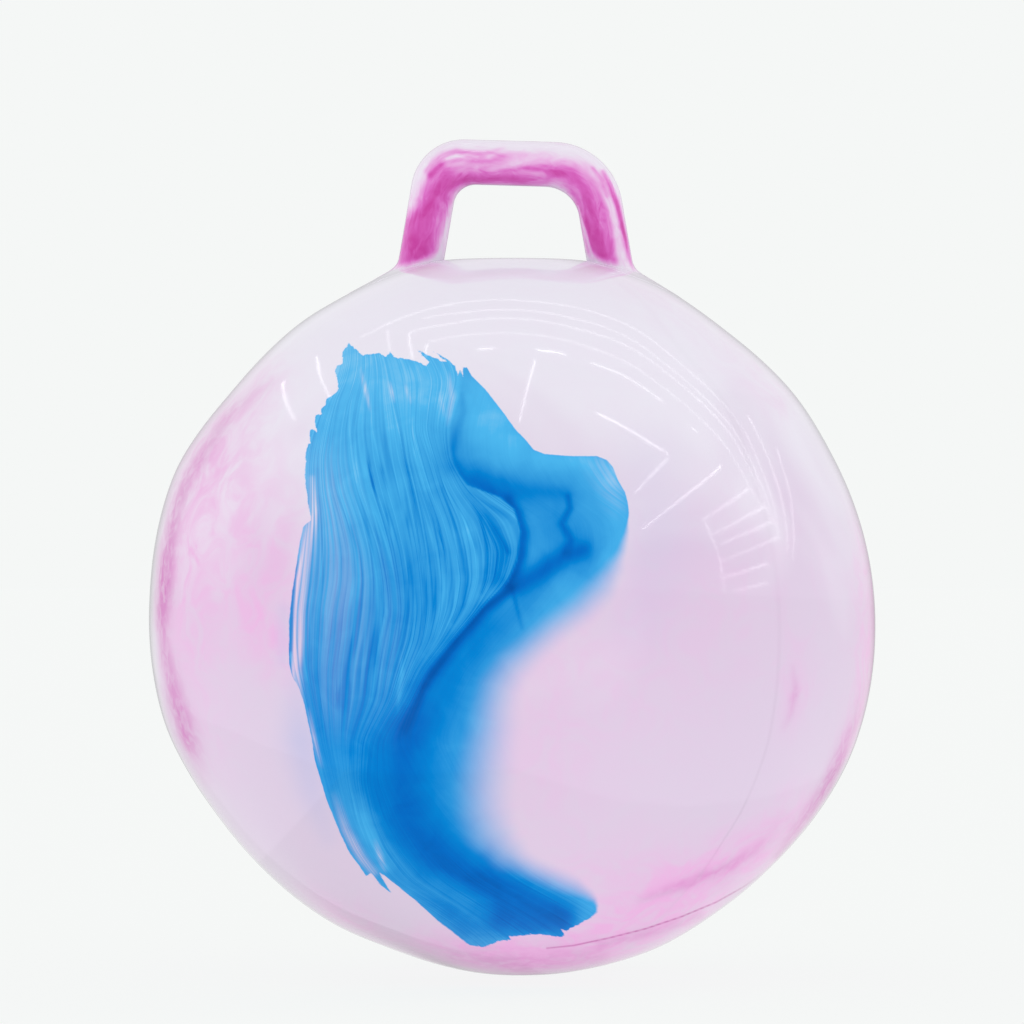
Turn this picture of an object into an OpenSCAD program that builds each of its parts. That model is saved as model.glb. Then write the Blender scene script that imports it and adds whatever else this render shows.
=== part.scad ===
// Hopper ball: a hollow vinyl ball with a hollow bow handle on its crown, and a plug valve between the bow's feet.
// It stands on its flattened base at z = 0. The bow lies in the XZ plane, and the blue swirl faces -Y.

/* [Ball] */
// Outer diameter of the inflated ball
ball_d = 450; // [400:5:550]
// Thickness of the vinyl skin
skin_t = 1.2; // [0.9:0.1:2]
// Radius of the flattened patch that the ball stands on
base_r = 30; // [26:1:45]
// Radius of the flat crown that the bow stands astride
crown_r = 44; // [38:1:48]
// Radius of the skirt that the skin draws up round each foot
skirt_r = 32; // [28:1:36]

/* [Bow handle] */
// Outer diameter of the bow's tube
bow_d = 27.5; // [23:0.5:32]
// Wall of the bow's tube
bow_wall_t = 2.2; // [1.5:0.1:4]
// Distance between the centres of the feet, at the height of the crown
foot_spacing = 117; // [108:1:128]
// Clear height for the hand, from the crown to the middle of the grip
hand_gap_h = 46.4; // [40:0.2:60]
// Angle that each leg leans inwards
leg_lean = 9.8; // [5:0.2:13]
// Angle that the grip falls to the right
grip_fall = 1.6; // [0:0.2:4]
// Distance that the bow stands to the right of the ball's axis
bow_shift = 2.2; // [-4:0.2:4]
// Radius of the left bend, on the tube's centre line
left_bend_r = 23; // [17:0.5:32]
// Radius of the right bend, on the tube's centre line
right_bend_r = 32; // [17:0.5:36]
// Radius of the hollow fillet on the outer side of each foot
foot_fillet_r = 12; // [8:0.5:16]

/* [Valve] */
// Diameter of the valve seat where it fills the hole in the crown
seat_d = 20; // [18:0.5:26]
// Length of the valve seat, below the crown
seat_h = 14; // [11:0.5:20]
// Diameter of the flange that bonds the seat to the inside of the skin
flange_d = 34; // [30:1:44]
// Thickness of the bonding flange
flange_t = 1.6; // [1:0.1:2.5]
// Diameter of the plug's head
head_d = 14; // [11:0.5:15.5]
// Thickness of the plug's head
head_t = 1.8; // [1.2:0.1:2.4]
// Bevel round the top of the plug's head
head_bevel = 0.5; // [0.2:0.1:0.8]
// Diameter of the thumbnail hollow in the plug's head
thumb_d = 7; // [5:0.5:8]
// Depth of the thumbnail hollow
thumb_h = 0.6; // [0.3:0.1:0.8]
// Diameter of the plug's shank, over its ribs
shank_d = 6.4; // [5:0.2:8]
// Length of the plug's shank
shank_h = 17; // [14:0.5:22]
// Number of ribs round the shank
rib_count = 4; // [2:1:5]
// Depth of the grooves between the ribs
groove_h = 0.6; // [0.3:0.1:1]
// Running gap between the ribs and the bore of the seat
shank_gap = 0.05; // [0.03:0.01:0.09]
// Gap round the plug's head
head_gap = 0.3; // [0.2:0.1:0.6]

/* [Swirl] */
// Depth of the blue vinyl that is laid into the skin
swirl_t = 0.4; // [0.2:0.1:0.6]

/* [Hidden] */
$fn = 144;
// Length by which a cut runs past the face that it opens
overrun = 1;

// Heights of the ball's centre and of its crown above the ground
ball_r = ball_d / 2;
centre_z = sqrt(pow(ball_r, 2) - pow(base_r, 2));
crown_z = centre_z + sqrt(pow(ball_r, 2) - pow(crown_r, 2));

// The skirt is a cone whose axis passes through the ball's centre and the outer edge of a foot
bow_r = bow_d / 2;
skirt_rise = 1.5;
skirt_base_angle = asin(skirt_r / ball_r);
skirt_slope = skirt_base_angle + skirt_rise;
skirt_base_h = ball_r * cos(skirt_base_angle);
skirt_peak_h = skirt_base_h + skirt_r * tan(skirt_slope);
skirt_root_share = 0.02;
skirt_root_h = skirt_root_share * skirt_r;
skirt_tip_share = 0.06;

// Points and directions of the bow are pairs: x, and the height above the ground
left_foot = [bow_shift - foot_spacing / 2, crown_z];
right_foot = [bow_shift + foot_spacing / 2, crown_z];
left_up = [sin(leg_lean), cos(leg_lean)];
right_up = [-sin(leg_lean), cos(leg_lean)];
grip_middle = [bow_shift, crown_z + hand_gap_h + bow_r / cos(grip_fall)];
grip_along = [cos(grip_fall), -sin(grip_fall)];
grip_over = [sin(grip_fall), cos(grip_fall)];
left_corner = meeting(left_foot, left_up, grip_middle, grip_along);
right_corner = meeting(right_foot, right_up, grip_middle, grip_along);
left_turn = 90 - leg_lean + grip_fall;
right_turn = 90 - leg_lean - grip_fall;
left_tangent = left_bend_r * tan(left_turn / 2);
right_tangent = right_bend_r * tan(right_turn / 2);
grip_start = left_corner + left_tangent * grip_along;
grip_end = right_corner - right_tangent * grip_along;
left_leg_h = norm(left_corner - left_foot) - left_tangent;
right_leg_h = norm(right_corner - right_foot) - right_tangent;
// Length of each leg below the height of the crown, which reaches through the skin
leg_root_h = bow_d;
fillet_steps = 8;
// Depth that the fillet dips below the skirt, so that the two surfaces cross
fillet_dip_share = 0.025;
// A straight length is a little thinner than the bends, and runs a little way into them, so that they join
lap_step = 0.02;
lap_h = 0.5;
rod_r = bow_r - lap_step;

// The plug's head lies flush with the crown, and its ribs share out the shank
tip_share = 0.25;
tip_h = tip_share * shank_h;
rib_pitch = (shank_h - tip_h) / rib_count;
rib_land_share = 0.35;

// Outline of the swirl seen from the front: shares of the ball's radius from its centre, to the right and up
swirl_shares = [
    [-0.45, 0.76], [-0.34, 0.73], [-0.26, 0.73], [-0.17, 0.70], [-0.07, 0.63], [-0.02, 0.56], [0.06, 0.46],
    [0.24, 0.44], [0.29, 0.39], [0.32, 0.28], [0.29, 0.17], [0.18, 0.05], [0.09, -0.02], [-0.04, -0.18],
    [-0.06, -0.31], [-0.10, -0.50], [-0.09, -0.57], [-0.03, -0.66], [0.09, -0.73], [0.22, -0.79],
    [0.24, -0.82], [0.17, -0.86], [-0.04, -0.90], [-0.12, -0.91], [-0.20, -0.85], [-0.31, -0.76],
    [-0.43, -0.69], [-0.49, -0.58], [-0.54, -0.40], [-0.59, -0.19], [-0.62, -0.09], [-0.61, 0.03],
    [-0.57, 0.35], [-0.57, 0.44], [-0.54, 0.55], [-0.50, 0.61], [-0.49, 0.69]
];

// Point where the line through p along d meets the line through q along e
function meeting(p, d, q, e) = p + d * (cross(q - p, e) / cross(d, e));

// Angle from the vertical of the skirt's axis, for the foot whose centre is x away from the ball's axis
function skirt_angle(x) = asin((x + bow_r) / ball_r);

// Height on a leg's axis, from the crown, of the centre of its foot's fillet
function fillet_rise(x) =
    let (fall = skirt_angle(x) + skirt_slope,
         over = [sin(fall), cos(fall)],
         peak = skirt_peak_h * [sin(skirt_angle(x)), cos(skirt_angle(x))] + [0, centre_z],
         out = (rod_r + foot_fillet_r) * [cos(leg_lean), sin(leg_lean)] + [x, crown_z] - peak)
    (foot_fillet_r * (1 - fillet_dip_share) - out * over) / (right_up * over);

// Radius and height of a point on the fillet, at an angle below the level through its centre
function fillet_point(rise, angle) =
    [rod_r + foot_fillet_r * (1 - cos(angle)), rise - foot_fillet_r * sin(angle)];

// Outline of a leg from its root to its bend, flared at the foot
function leg_outline(x, leg_h) =
    let (rise = fillet_rise(x), sweep = 90 - leg_lean - skirt_angle(x) - skirt_slope)
    concat(
        [[0, -leg_root_h], [fillet_point(rise, sweep)[0], -leg_root_h]],
        [for (step = [fillet_steps:-1:0]) fillet_point(rise, sweep * step / fillet_steps)],
        [[rod_r, leg_h + lap_h], [0, leg_h + lap_h]]
    );

// Turns a drawing in the XY plane up into the XZ plane
module upright() rotate([90, 0, 0]) children();

// Sets a shape that stands on its own axis at a point of the bow, along a direction in the bow's plane
module along(point, angle) translate(point) rotate([0, 90, angle]) children();

// Quarter-round bend of the bow, from one angle round its centre
module bend(centre, bend_r, from, turn, tube_r)
    translate(centre) rotate(from) rotate_extrude(angle = turn) translate([bend_r, 0]) circle(tube_r);

// The grip and the two bends, as a rod of one radius
module grip_rod(tube_r) {
    along(grip_start - lap_h * grip_along, -grip_fall)
        cylinder(r = tube_r - lap_step, h = norm(grip_end - grip_start) + 2 * lap_h);
    bend(grip_start - left_bend_r * grip_over, left_bend_r, 90 - grip_fall, left_turn, tube_r);
    bend(grip_end - right_bend_r * grip_over, right_bend_r, leg_lean, right_turn, tube_r);
}

// The hollow of both legs, which runs on through the ball's skin
module leg_bores() {
    bore_r = rod_r - bow_wall_t;
    root_h = leg_root_h + lap_h;
    upright() {
        along(left_foot - leg_root_h * left_up, 90 - leg_lean) cylinder(r = bore_r, h = root_h + left_leg_h);
        along(right_foot - leg_root_h * right_up, 90 + leg_lean) cylinder(r = bore_r, h = root_h + right_leg_h);
    }
}

// Skin drawn up towards the outer edge of a foot: side is -1 on the left and 1 on the right
module skirt(side, x) {
    tip_r = skirt_tip_share * skirt_r;
    root_r = skirt_r + skirt_root_h / tan(skirt_slope);
    rotate([0, side * skirt_angle(x), 0])
        translate([0, 0, skirt_base_h - skirt_root_h])
            cylinder(r1 = root_r, r2 = tip_r, h = (root_r - tip_r) * tan(skirt_slope));
}

// The ball as a solid, flat at its base and its crown
module ball_solid()
    intersection() {
        translate([0, 0, centre_z]) {
            sphere(ball_r);
            skirt(-1, -left_foot[0]);
            skirt(1, right_foot[0]);
        }
        cylinder(r = ball_r + overrun, h = crown_z);
    }

// The air inside the ball
module ball_hollow()
    intersection() {
        translate([0, 0, centre_z]) sphere(ball_r - skin_t);
        translate([0, 0, skin_t]) cylinder(r = ball_r, h = crown_z - 2 * skin_t);
    }

// The blue vinyl: a thin slice of the ball's front, inside the swirl's outline
module swirl_slice()
    translate([0, 0, centre_z])
        intersection() {
            difference() {
                sphere(ball_r);
                sphere(ball_r - swirl_t);
            }
            upright() linear_extrude(ball_r + overrun) polygon(swirl_shares * ball_r);
        }

// Hollow skin of the ball, open into both legs of the bow and round the valve seat
module ball_shell()
    color("#e6d9ea")
        difference() {
            ball_solid();
            ball_hollow();
            leg_bores();
            translate([0, 0, crown_z - skin_t - overrun]) cylinder(d = seat_d, h = skin_t + 2 * overrun);
            swirl_slice();
        }

// Splash of blue vinyl, laid flush into the front of the skin
module blue_swirl() color("#2796dc") swirl_slice();

// Hollow bow: flared legs that stand on the ball's skin, two bends and the grip
module handle_bow()
    color("#d65fbb")
        difference() {
            upright() {
                along(left_foot, 90 - leg_lean) rotate_extrude() polygon(leg_outline(-left_foot[0], left_leg_h));
                along(right_foot, 90 + leg_lean) rotate_extrude() polygon(leg_outline(right_foot[0], right_leg_h));
                grip_rod(bow_r);
            }
            upright() grip_rod(bow_r - bow_wall_t);
            leg_bores();
            ball_solid();
        }

// Valve seat: a collar in the hole of the crown, a flange bonded inside the skin, and the plug's bore
module valve_seat() {
    recess_r = head_d / 2 + head_gap;
    bore_r = shank_d / 2 + shank_gap;
    color("#efe6f2")
        translate([0, 0, crown_z])
            difference() {
                union() {
                    translate([0, 0, -seat_h]) cylinder(d = seat_d, h = seat_h);
                    translate([0, 0, -skin_t - flange_t]) cylinder(d = flange_d, h = flange_t);
                }
                translate([0, 0, -head_t]) cylinder(r = recess_r, h = head_t + overrun);
                translate([0, 0, -seat_h - overrun]) cylinder(r = bore_r, h = seat_h + overrun);
            }
}

// Half of the plug's outline, from the tip of its shank up to its head
function plug_outline() =
    let (shank_r = shank_d / 2, groove_r = shank_r - groove_h, root = -head_t - shank_h)
    concat(
        [[0, root], [groove_r, root]],
        [for (rib = [0:rib_count - 1])
            let (rib_top = -head_t - (rib_count - 1 - rib) * rib_pitch - rib_pitch * rib_land_share)
            each [[groove_r, rib_top - rib_pitch * (1 - rib_land_share)],
                  [shank_r, rib_top - rib_pitch * rib_land_share],
                  [shank_r, rib_top]]],
        [[groove_r, -head_t - rib_pitch * rib_land_share], [groove_r, -head_t],
         [head_d / 2, -head_t], [head_d / 2, -head_bevel], [head_d / 2 - head_bevel, 0],
         [thumb_d / 2, 0], [thumb_d / 2 - thumb_h, -thumb_h], [0, -thumb_h]]
    );

// Push-in plug: a flush head with a thumbnail hollow, on a ribbed shank
module valve_plug() color("#f7f5f8") translate([0, 0, crown_z]) rotate_extrude() polygon(plug_outline());

ball_shell();
blue_swirl();
handle_bow();
valve_seat();
valve_plug();
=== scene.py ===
"""Looks of a hopper ball: marbled skin, pink bow handle, air valve, parting line and a plain studio.

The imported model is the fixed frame. The ball's skin stands for the shell and the blue swirl, and follows
the same crown, base patch and skirts at the feet. Patterns that the photograph shows are drawn as soft
strokes of pigment in the photograph's own pixels. The Painter lays them on the front of the skin and stores
them as attributes of the mesh. Materials turn the attributes into colour.
"""

import logging
import math
from dataclasses import dataclass
from enum import Enum
from typing import Sequence

import bmesh
import bpy
import numpy as np
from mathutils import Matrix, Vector


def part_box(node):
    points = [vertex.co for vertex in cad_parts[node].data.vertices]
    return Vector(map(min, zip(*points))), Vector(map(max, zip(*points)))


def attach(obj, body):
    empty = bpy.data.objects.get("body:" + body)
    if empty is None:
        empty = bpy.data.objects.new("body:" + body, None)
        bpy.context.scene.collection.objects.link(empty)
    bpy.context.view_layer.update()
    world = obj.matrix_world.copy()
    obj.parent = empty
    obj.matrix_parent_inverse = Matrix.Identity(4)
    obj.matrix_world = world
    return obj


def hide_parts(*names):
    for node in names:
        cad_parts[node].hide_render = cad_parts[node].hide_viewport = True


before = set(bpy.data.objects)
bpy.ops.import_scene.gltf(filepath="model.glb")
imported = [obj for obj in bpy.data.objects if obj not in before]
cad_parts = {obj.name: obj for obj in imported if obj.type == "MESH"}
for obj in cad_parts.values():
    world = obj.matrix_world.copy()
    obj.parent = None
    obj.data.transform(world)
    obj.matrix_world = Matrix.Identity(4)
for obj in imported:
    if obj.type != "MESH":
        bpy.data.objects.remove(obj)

logging.basicConfig(level=logging.INFO, format="%(message)s")
log = logging.getLogger("hopper_ball")

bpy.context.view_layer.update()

MM = 0.001
# Centre of the ball in the photograph, in pixels, and the size of a pixel at the ball
PHOTO_CENTRE = (511.8, 615.3)
PHOTO_MM_PER_PX = 0.6215
PHOTO_WIDTH_PX = 1024
# Distance of the camera from the ball's centre, in millimetres
PHOTO_DISTANCE = 4000.0

Point = tuple[float, float]
Array = np.ndarray
Piece = bpy.types.Object
Socket = bpy.types.NodeSocket
Stretches = tuple[tuple[float, int], ...]


class Body(Enum):
    """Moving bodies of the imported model."""

    BALL = "ball"
    PLUG = "plug"


class Blend(Enum):
    """How a stroke of pigment meets what lies under it."""

    ADD = "add"
    CLEAR = "clear"


def smooth(value: Array, low: float, high: float) -> Array:
    """Rises smoothly from 0, where value is low, to 1, where it is high."""
    share = np.clip((value - low) / (high - low), 0.0, 1.0)
    return share * share * (3.0 - 2.0 * share)


def soft_least(first: Array, second: Array, blend: float) -> Array:
    """Lesser of two lengths, rounded over the distance blend where they cross."""
    near = np.clip(0.5 + 0.5 * (second - first) / blend, 0.0, 1.0)
    return second + (first - second) * near - blend * near * (1.0 - near)


def soft_most(first: Array, second: Array, blend: float) -> Array:
    """Greater of two lengths, rounded over the distance blend where they cross."""
    return -soft_least(-first, -second, blend)


def from_photo(points: Sequence[Point]) -> Array:
    """Turns pixels of the photograph into millimetres right of and above the ball's centre.

    Args:
        points: Pixels, right and down.

    Returns:
        One row of two numbers for each pixel.
    """
    pixels = np.asarray(points, float)
    right = (pixels[:, 0] - PHOTO_CENTRE[0]) * PHOTO_MM_PER_PX
    above = (PHOTO_CENTRE[1] - pixels[:, 1]) * PHOTO_MM_PER_PX
    return np.stack([right, above], axis=1)


def on_photo(points: Array, centre_z: float) -> Array:
    """Places where the camera sees points, on the upright plane through the ball's centre.

    Args:
        points: Rows of x, y and z, in millimetres.
        centre_z: Height of the ball's centre.

    Returns:
        Rows of millimetres right of and above the ball's centre.
    """
    eye = from_photo([(PHOTO_WIDTH_PX / 2, PHOTO_WIDTH_PX / 2)])
    flat = points[:, [0, 2]] - (0, centre_z)
    return eye + (flat - eye) * (PHOTO_DISTANCE / (PHOTO_DISTANCE + points[:, 1]))[:, None]


def nearest_on_line(places: Array, line: Array) -> tuple[Array, Array]:
    """Finds how far each place lies from a line of straight pieces, and where along it.

    Args:
        places: Rows of two numbers.
        line: Corners of the line, rows of two numbers.

    Returns:
        The distance of each place, and the share of the line's length at its nearest point.
    """
    best = np.full(len(places), np.inf)
    share = np.zeros(len(places))
    steps = np.diff(line, axis=0)
    lengths = np.hypot(steps[:, 0], steps[:, 1])
    whole = lengths.sum()
    before = 0.0
    for start, step, length in zip(line[:-1], steps, lengths):
        offset = places - start
        along = np.clip(offset @ step / length**2, 0.0, 1.0)
        gap = offset - along[:, None] * step
        distance = np.hypot(gap[:, 0], gap[:, 1])
        closer = distance < best
        best[closer] = distance[closer]
        share[closer] = (before + along[closer] * length) / whole
        before += length
    return best, share


def inside(places: Array, outline: Array) -> Array:
    """Says which places lie inside a closed outline.

    Args:
        places: Rows of two numbers.
        outline: Corners of the outline, rows of two numbers, the last joined to the first.

    Returns:
        True for each place inside.
    """
    result = np.zeros(len(places), bool)
    x, y = places[:, 0], places[:, 1]
    for (ax, ay), (bx, by) in zip(outline, np.roll(outline, -1, axis=0)):
        if ay != by:
            crosses = ((ay > y) != (by > y)) & (x < (bx - ax) * (y - ay) / (by - ay) + ax)
            result ^= crosses
    return result


@dataclass(frozen=True)
class Stroke:
    """A soft line of pigment in the photograph.

    Attributes:
        points: Pixels that the line runs through.
        widths: Half widths in pixels, shared out evenly from the line's start to its end.
        strengths: Amounts from 0 to 1, shared out in the same way.
        blend: Whether it adds pigment or clears it.
    """

    points: tuple[Point, ...]
    widths: tuple[float, ...]
    strengths: tuple[float, ...]
    blend: Blend = Blend.ADD

    def amount(self, places: Array) -> Array:
        """Amount of pigment at each place, fading away from the line.

        Args:
            places: Rows of two numbers, millimetres from the ball's centre.

        Returns:
            Numbers from 0 to 1.
        """
        distance, share = nearest_on_line(places, from_photo(self.points))
        half = np.interp(share, np.linspace(0, 1, len(self.widths)), self.widths) * PHOTO_MM_PER_PX
        strength = np.interp(share, np.linspace(0, 1, len(self.strengths)), self.strengths)
        return strength * np.exp(-((distance / half) ** 2))


@dataclass(frozen=True)
class Pigment:
    """All the strokes of one pigment, laid over each other in order."""

    strokes: tuple[Stroke, ...]
    ground: float = 0.0

    def amount(self, places: Array) -> Array:
        """Amount of the pigment at each place.

        Args:
            places: Rows of two numbers, millimetres from the ball's centre.

        Returns:
            Numbers from 0 to 1.
        """
        left = np.full(len(places), 1.0 - self.ground)
        for stroke in self.strokes:
            part = stroke.amount(places)
            if stroke.blend is Blend.ADD:
                left *= 1.0 - part
            else:
                left = 1.0 - (1.0 - left) * (1.0 - part)
        return 1.0 - left


@dataclass(frozen=True)
class EdgeStretch:
    """One stretch of the swirl's outline.

    Attributes:
        points: Pixels along the stretch, clockwise.
        soft: Width in pixels over which the blue fades out.
        fray: Length in pixels of the teeth where the strands end.
        torn: Depth in pixels of the ragged edge across the strands.
    """

    points: tuple[Point, ...]
    soft: float
    fray: float
    torn: float = 0.0


def link_mesh(name: str, points: Array, faces: Sequence[Sequence[int]]) -> Piece:
    """Makes a mesh object at the origin and links it to the scene.

    Args:
        name: Name of the piece.
        points: Rows of x, y and z in millimetres.
        faces: Corner numbers of each face.

    Returns:
        The new object.
    """
    mesh = bpy.data.meshes.new(name)
    mesh.from_pydata((np.asarray(points) * MM).tolist(), [], faces)
    mesh.validate()
    mesh.shade_smooth()
    made = bpy.data.objects.new(name, mesh)
    bpy.context.scene.collection.objects.link(made)
    return made


def points_of(piece: Piece) -> Array:
    """Points of a mesh, as rows of x, y and z in millimetres."""
    points = np.zeros(len(piece.data.vertices) * 3)
    piece.data.vertices.foreach_get("co", points)
    return points.reshape(-1, 3) / MM


def store(piece: Piece, name: str, values: Array) -> None:
    """Stores one number or one vector for each point of a mesh.

    Args:
        piece: Object whose mesh takes the values.
        name: Name of the attribute.
        values: One number a point, or rows of three.
    """
    kind = "FLOAT_VECTOR" if values.ndim == 2 else "FLOAT"
    attribute = piece.data.attributes.new(name, kind, "POINT")
    attribute.data.foreach_set("vector" if values.ndim == 2 else "value", values.astype(np.float32).ravel())


def grid_faces(rows: int, columns: int, first: int = 0) -> list[tuple[int, int, int, int]]:
    """Quads between closed rings of points.

    Args:
        rows: Number of rings.
        columns: Points in each ring.
        first: Number of the first point.

    Returns:
        Corner numbers, with faces outwards where the rings run anticlockwise from above, from the top down.
    """
    faces = []
    for row in range(rows - 1):
        start = first + row * columns
        for column in range(columns):
            after = (column + 1) % columns
            faces.append((start + column, start + columns + column, start + columns + after, start + after))
    return faces


def face_outwards(piece: Piece, close: bool = False) -> None:
    """Merges doubled points of a mesh and turns all its faces outwards.

    Args:
        piece: Object whose mesh is mended.
        close: Whether its open ends are closed too.
    """
    double_gap = 0.001 * MM
    shape = bmesh.new()
    shape.from_mesh(piece.data)
    bmesh.ops.remove_doubles(shape, verts=shape.verts, dist=double_gap)
    bmesh.ops.recalc_face_normals(shape, faces=shape.faces)
    if close:
        bmesh.ops.holes_fill(shape, edges=[edge for edge in shape.edges if edge.is_boundary], sides=0)
        bmesh.ops.recalc_face_normals(shape, faces=shape.faces)
    shape.to_mesh(piece.data)
    shape.free()
    piece.data.shade_smooth()


def lathe(name: str, outline: Sequence[Point], base_z: float, turns: int = 96) -> Piece:
    """Turns an outline round the vertical axis into a closed mesh.

    Args:
        name: Name of the piece.
        outline: Radius and height of each corner, from the axis or round a ring.
        base_z: Height that is added to every corner, in millimetres.
        turns: Number of points round the axis.

    Returns:
        The new object, closed at the axis or joined into a ring.
    """
    loop = list(outline)
    if loop[0][0] > 0:
        loop.append(loop[0])
    angles = np.linspace(0, 2 * math.pi, turns, endpoint=False)
    points = [
        (radius * math.cos(angle), radius * math.sin(angle), base_z + height)
        for radius, height in loop
        for angle in angles
    ]
    made = link_mesh(name, np.array(points), grid_faces(len(loop), turns))
    face_outwards(made)
    return made


def rounded(outline: Sequence[Point], radius: float, steps: int = 4) -> list[Point]:
    """Rounds the corners of an open outline.

    Args:
        outline: Corners of the outline.
        radius: Length that is cut from each side of a corner, at most.
        steps: Number of short sides that replace each corner.

    Returns:
        The outline with its inner corners rounded.
    """
    result = [outline[0]]
    for before, corner, after in zip(outline, outline[1:], outline[2:]):
        here = Vector(corner)
        back, ahead = Vector(before) - here, Vector(after) - here
        cut = min(radius, back.length / 2, ahead.length / 2)
        start, end = here + back.normalized() * cut, here + ahead.normalized() * cut
        for step in range(steps + 1):
            share = step / steps
            place = start.lerp(here, share).lerp(here.lerp(end, share), share)
            result.append((place.x, place.y))
    result.append(outline[-1])
    return result


def linear(code: str) -> tuple[float, float, float, float]:
    """Turns an sRGB hex colour into the linear red, green, blue and alpha that a shader takes."""
    parts = [int(code[start : start + 2], 16) / 255 for start in (1, 3, 5)]
    return (*(c / 12.92 if c <= 0.04045 else ((c + 0.055) / 1.055) ** 2.4 for c in parts), 1.0)


def per_metre(size_mm: float) -> float:
    """Scale of a noise whose patches are about size_mm across, in object coordinates."""
    return 1 / (size_mm * MM)


class Kind(Enum):
    """Kinds of node that the trees share: Blender's name, inputs in order, output and settings."""

    ADD = ("ShaderNodeMath", (0, 1), 0, {"operation": "ADD"})
    SUBTRACT = ("ShaderNodeMath", (0, 1), 0, {"operation": "SUBTRACT"})
    MULTIPLY = ("ShaderNodeMath", (0, 1), 0, {"operation": "MULTIPLY"})
    MINIMUM = ("ShaderNodeMath", (0, 1), 0, {"operation": "MINIMUM"})
    MAXIMUM = ("ShaderNodeMath", (0, 1), 0, {"operation": "MAXIMUM"})
    ABSOLUTE = ("ShaderNodeMath", (0,), 0, {"operation": "ABSOLUTE"})
    ROUND = ("ShaderNodeMath", (0,), 0, {"operation": "ROUND"})
    SINE = ("ShaderNodeMath", (0,), 0, {"operation": "SINE"})
    COSINE = ("ShaderNodeMath", (0,), 0, {"operation": "COSINE"})
    MIX = ("ShaderNodeMix", (0, 6, 7), 2, {"data_type": "RGBA"})
    MIX_NUMBERS = ("ShaderNodeMix", (0, 2, 3), 0, {})
    # Rises smoothly from the fourth input, or 0, at the second to the fifth, or 1, at the third
    EASE = ("ShaderNodeMapRange", range(5), 0, {"interpolation_type": "SMOOTHSTEP"})
    NOISE = ("ShaderNodeTexNoise", ("Vector", "Scale", "Detail", "Distortion"), "Fac", {})
    NUMBER = ("ShaderNodeAttribute", (), "Fac", {})
    VECTOR = ("ShaderNodeAttribute", (), "Vector", {})
    PLACE = ("ShaderNodeTexCoord", (), "Object", {})
    HEIGHT = ("ShaderNodeSeparateXYZ", (0,), 2, {})
    JOIN = ("ShaderNodeCombineXYZ", (0, 1, 2), 0, {})
    ADD_VECTORS = ("ShaderNodeVectorMath", (0, 1), 0, {"operation": "ADD"})
    SUBTRACT_VECTORS = ("ShaderNodeVectorMath", (0, 1), 0, {"operation": "SUBTRACT"})
    MULTIPLY_VECTORS = ("ShaderNodeVectorMath", (0, 1), 0, {"operation": "MULTIPLY"})
    SCALE = ("ShaderNodeVectorMath", (0, "Scale"), 0, {"operation": "SCALE"})
    DIRECTION = ("ShaderNodeVectorMath", (0,), 0, {"operation": "NORMALIZE"})
    LENGTH = ("ShaderNodeVectorMath", (0,), "Value", {"operation": "LENGTH"})
    # Value of a field at one point of a shape, by the point's number
    AT_POINT = ("GeometryNodeSampleIndex", ("Geometry", "Value", "Index"), 0, {"domain": "POINT"})
    MIX_SHADERS = ("ShaderNodeMixShader", (0, 1, 2), 0, {})


class Nodes:
    """A node tree under construction."""

    def __init__(self, tree: bpy.types.NodeTree) -> None:
        """Starts with an empty tree."""
        self.tree = tree
        tree.nodes.clear()

    def put(self, name: str, inputs: dict | None = None, **settings: object) -> bpy.types.Node:
        """Adds a node with its settings, values and links.

        Args:
            name: Blender's name for the node.
            inputs: For each input's name or number, a value, a hex colour or the socket that feeds it.
            settings: Properties of the node.

        Returns:
            The new node.
        """
        node = self.tree.nodes.new(name)
        for label, value in settings.items():
            setattr(node, label, value)
        for key, value in (inputs or {}).items():
            if isinstance(value, Socket):
                self.tree.links.new(value, node.inputs[key])
            else:
                node.inputs[key].default_value = linear(value) if str(value).startswith("#") else value
        return node

    def out(self, kind: Kind, *values: object, **settings: object) -> Socket:
        """Adds a node of a listed kind, with values for its inputs in order, and returns its output."""
        name, inputs, output, fixed = kind.value
        return self.put(name, dict(zip(inputs, values)), **fixed, **settings).outputs[output]


class Finish(Nodes):
    """A material under construction."""

    def __init__(self, name: str) -> None:
        """Starts an empty material, named after how it was made."""
        self.material = bpy.data.materials.new(name)
        self.material.use_nodes = True
        super().__init__(self.material.node_tree)

    def end(self, surface: Socket) -> bpy.types.Material:
        """Ends the material with the shader of its surface."""
        self.put("ShaderNodeOutputMaterial", {"Surface": surface})
        return self.material


@dataclass(frozen=True)
class SoftVinyl:
    """Plasticised PVC, rotomoulded against a polished mould: smooth, wet-looking, a little translucent."""

    ior: float = 1.53
    roughness: float = 0.06
    specular: float = 0.2
    # The mould's polish leaves slow waves in the skin, which break up thin highlights
    wave_mm: float = 14.0
    wave_depth_mm: float = 0.03

    def coat(self, making: Finish, colour: Socket) -> bpy.types.Material:
        """Ends a material with this vinyl in one colour.

        Args:
            making: Material that the vinyl belongs to.
            colour: Colour of the surface.

        Returns:
            The material.
        """
        wave = making.out(Kind.NOISE, making.out(Kind.PLACE), per_metre(self.wave_mm), 1.0)
        bump = making.put("ShaderNodeBump", {"Height": wave, "Distance": self.wave_depth_mm * MM})
        looks = {"Base Color": colour, "Roughness": self.roughness, "IOR": self.ior}
        looks |= {"Specular IOR Level": self.specular, "Normal": bump.outputs[0]}
        return making.end(making.put("ShaderNodeBsdfPrincipled", looks).outputs[0])


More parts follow.
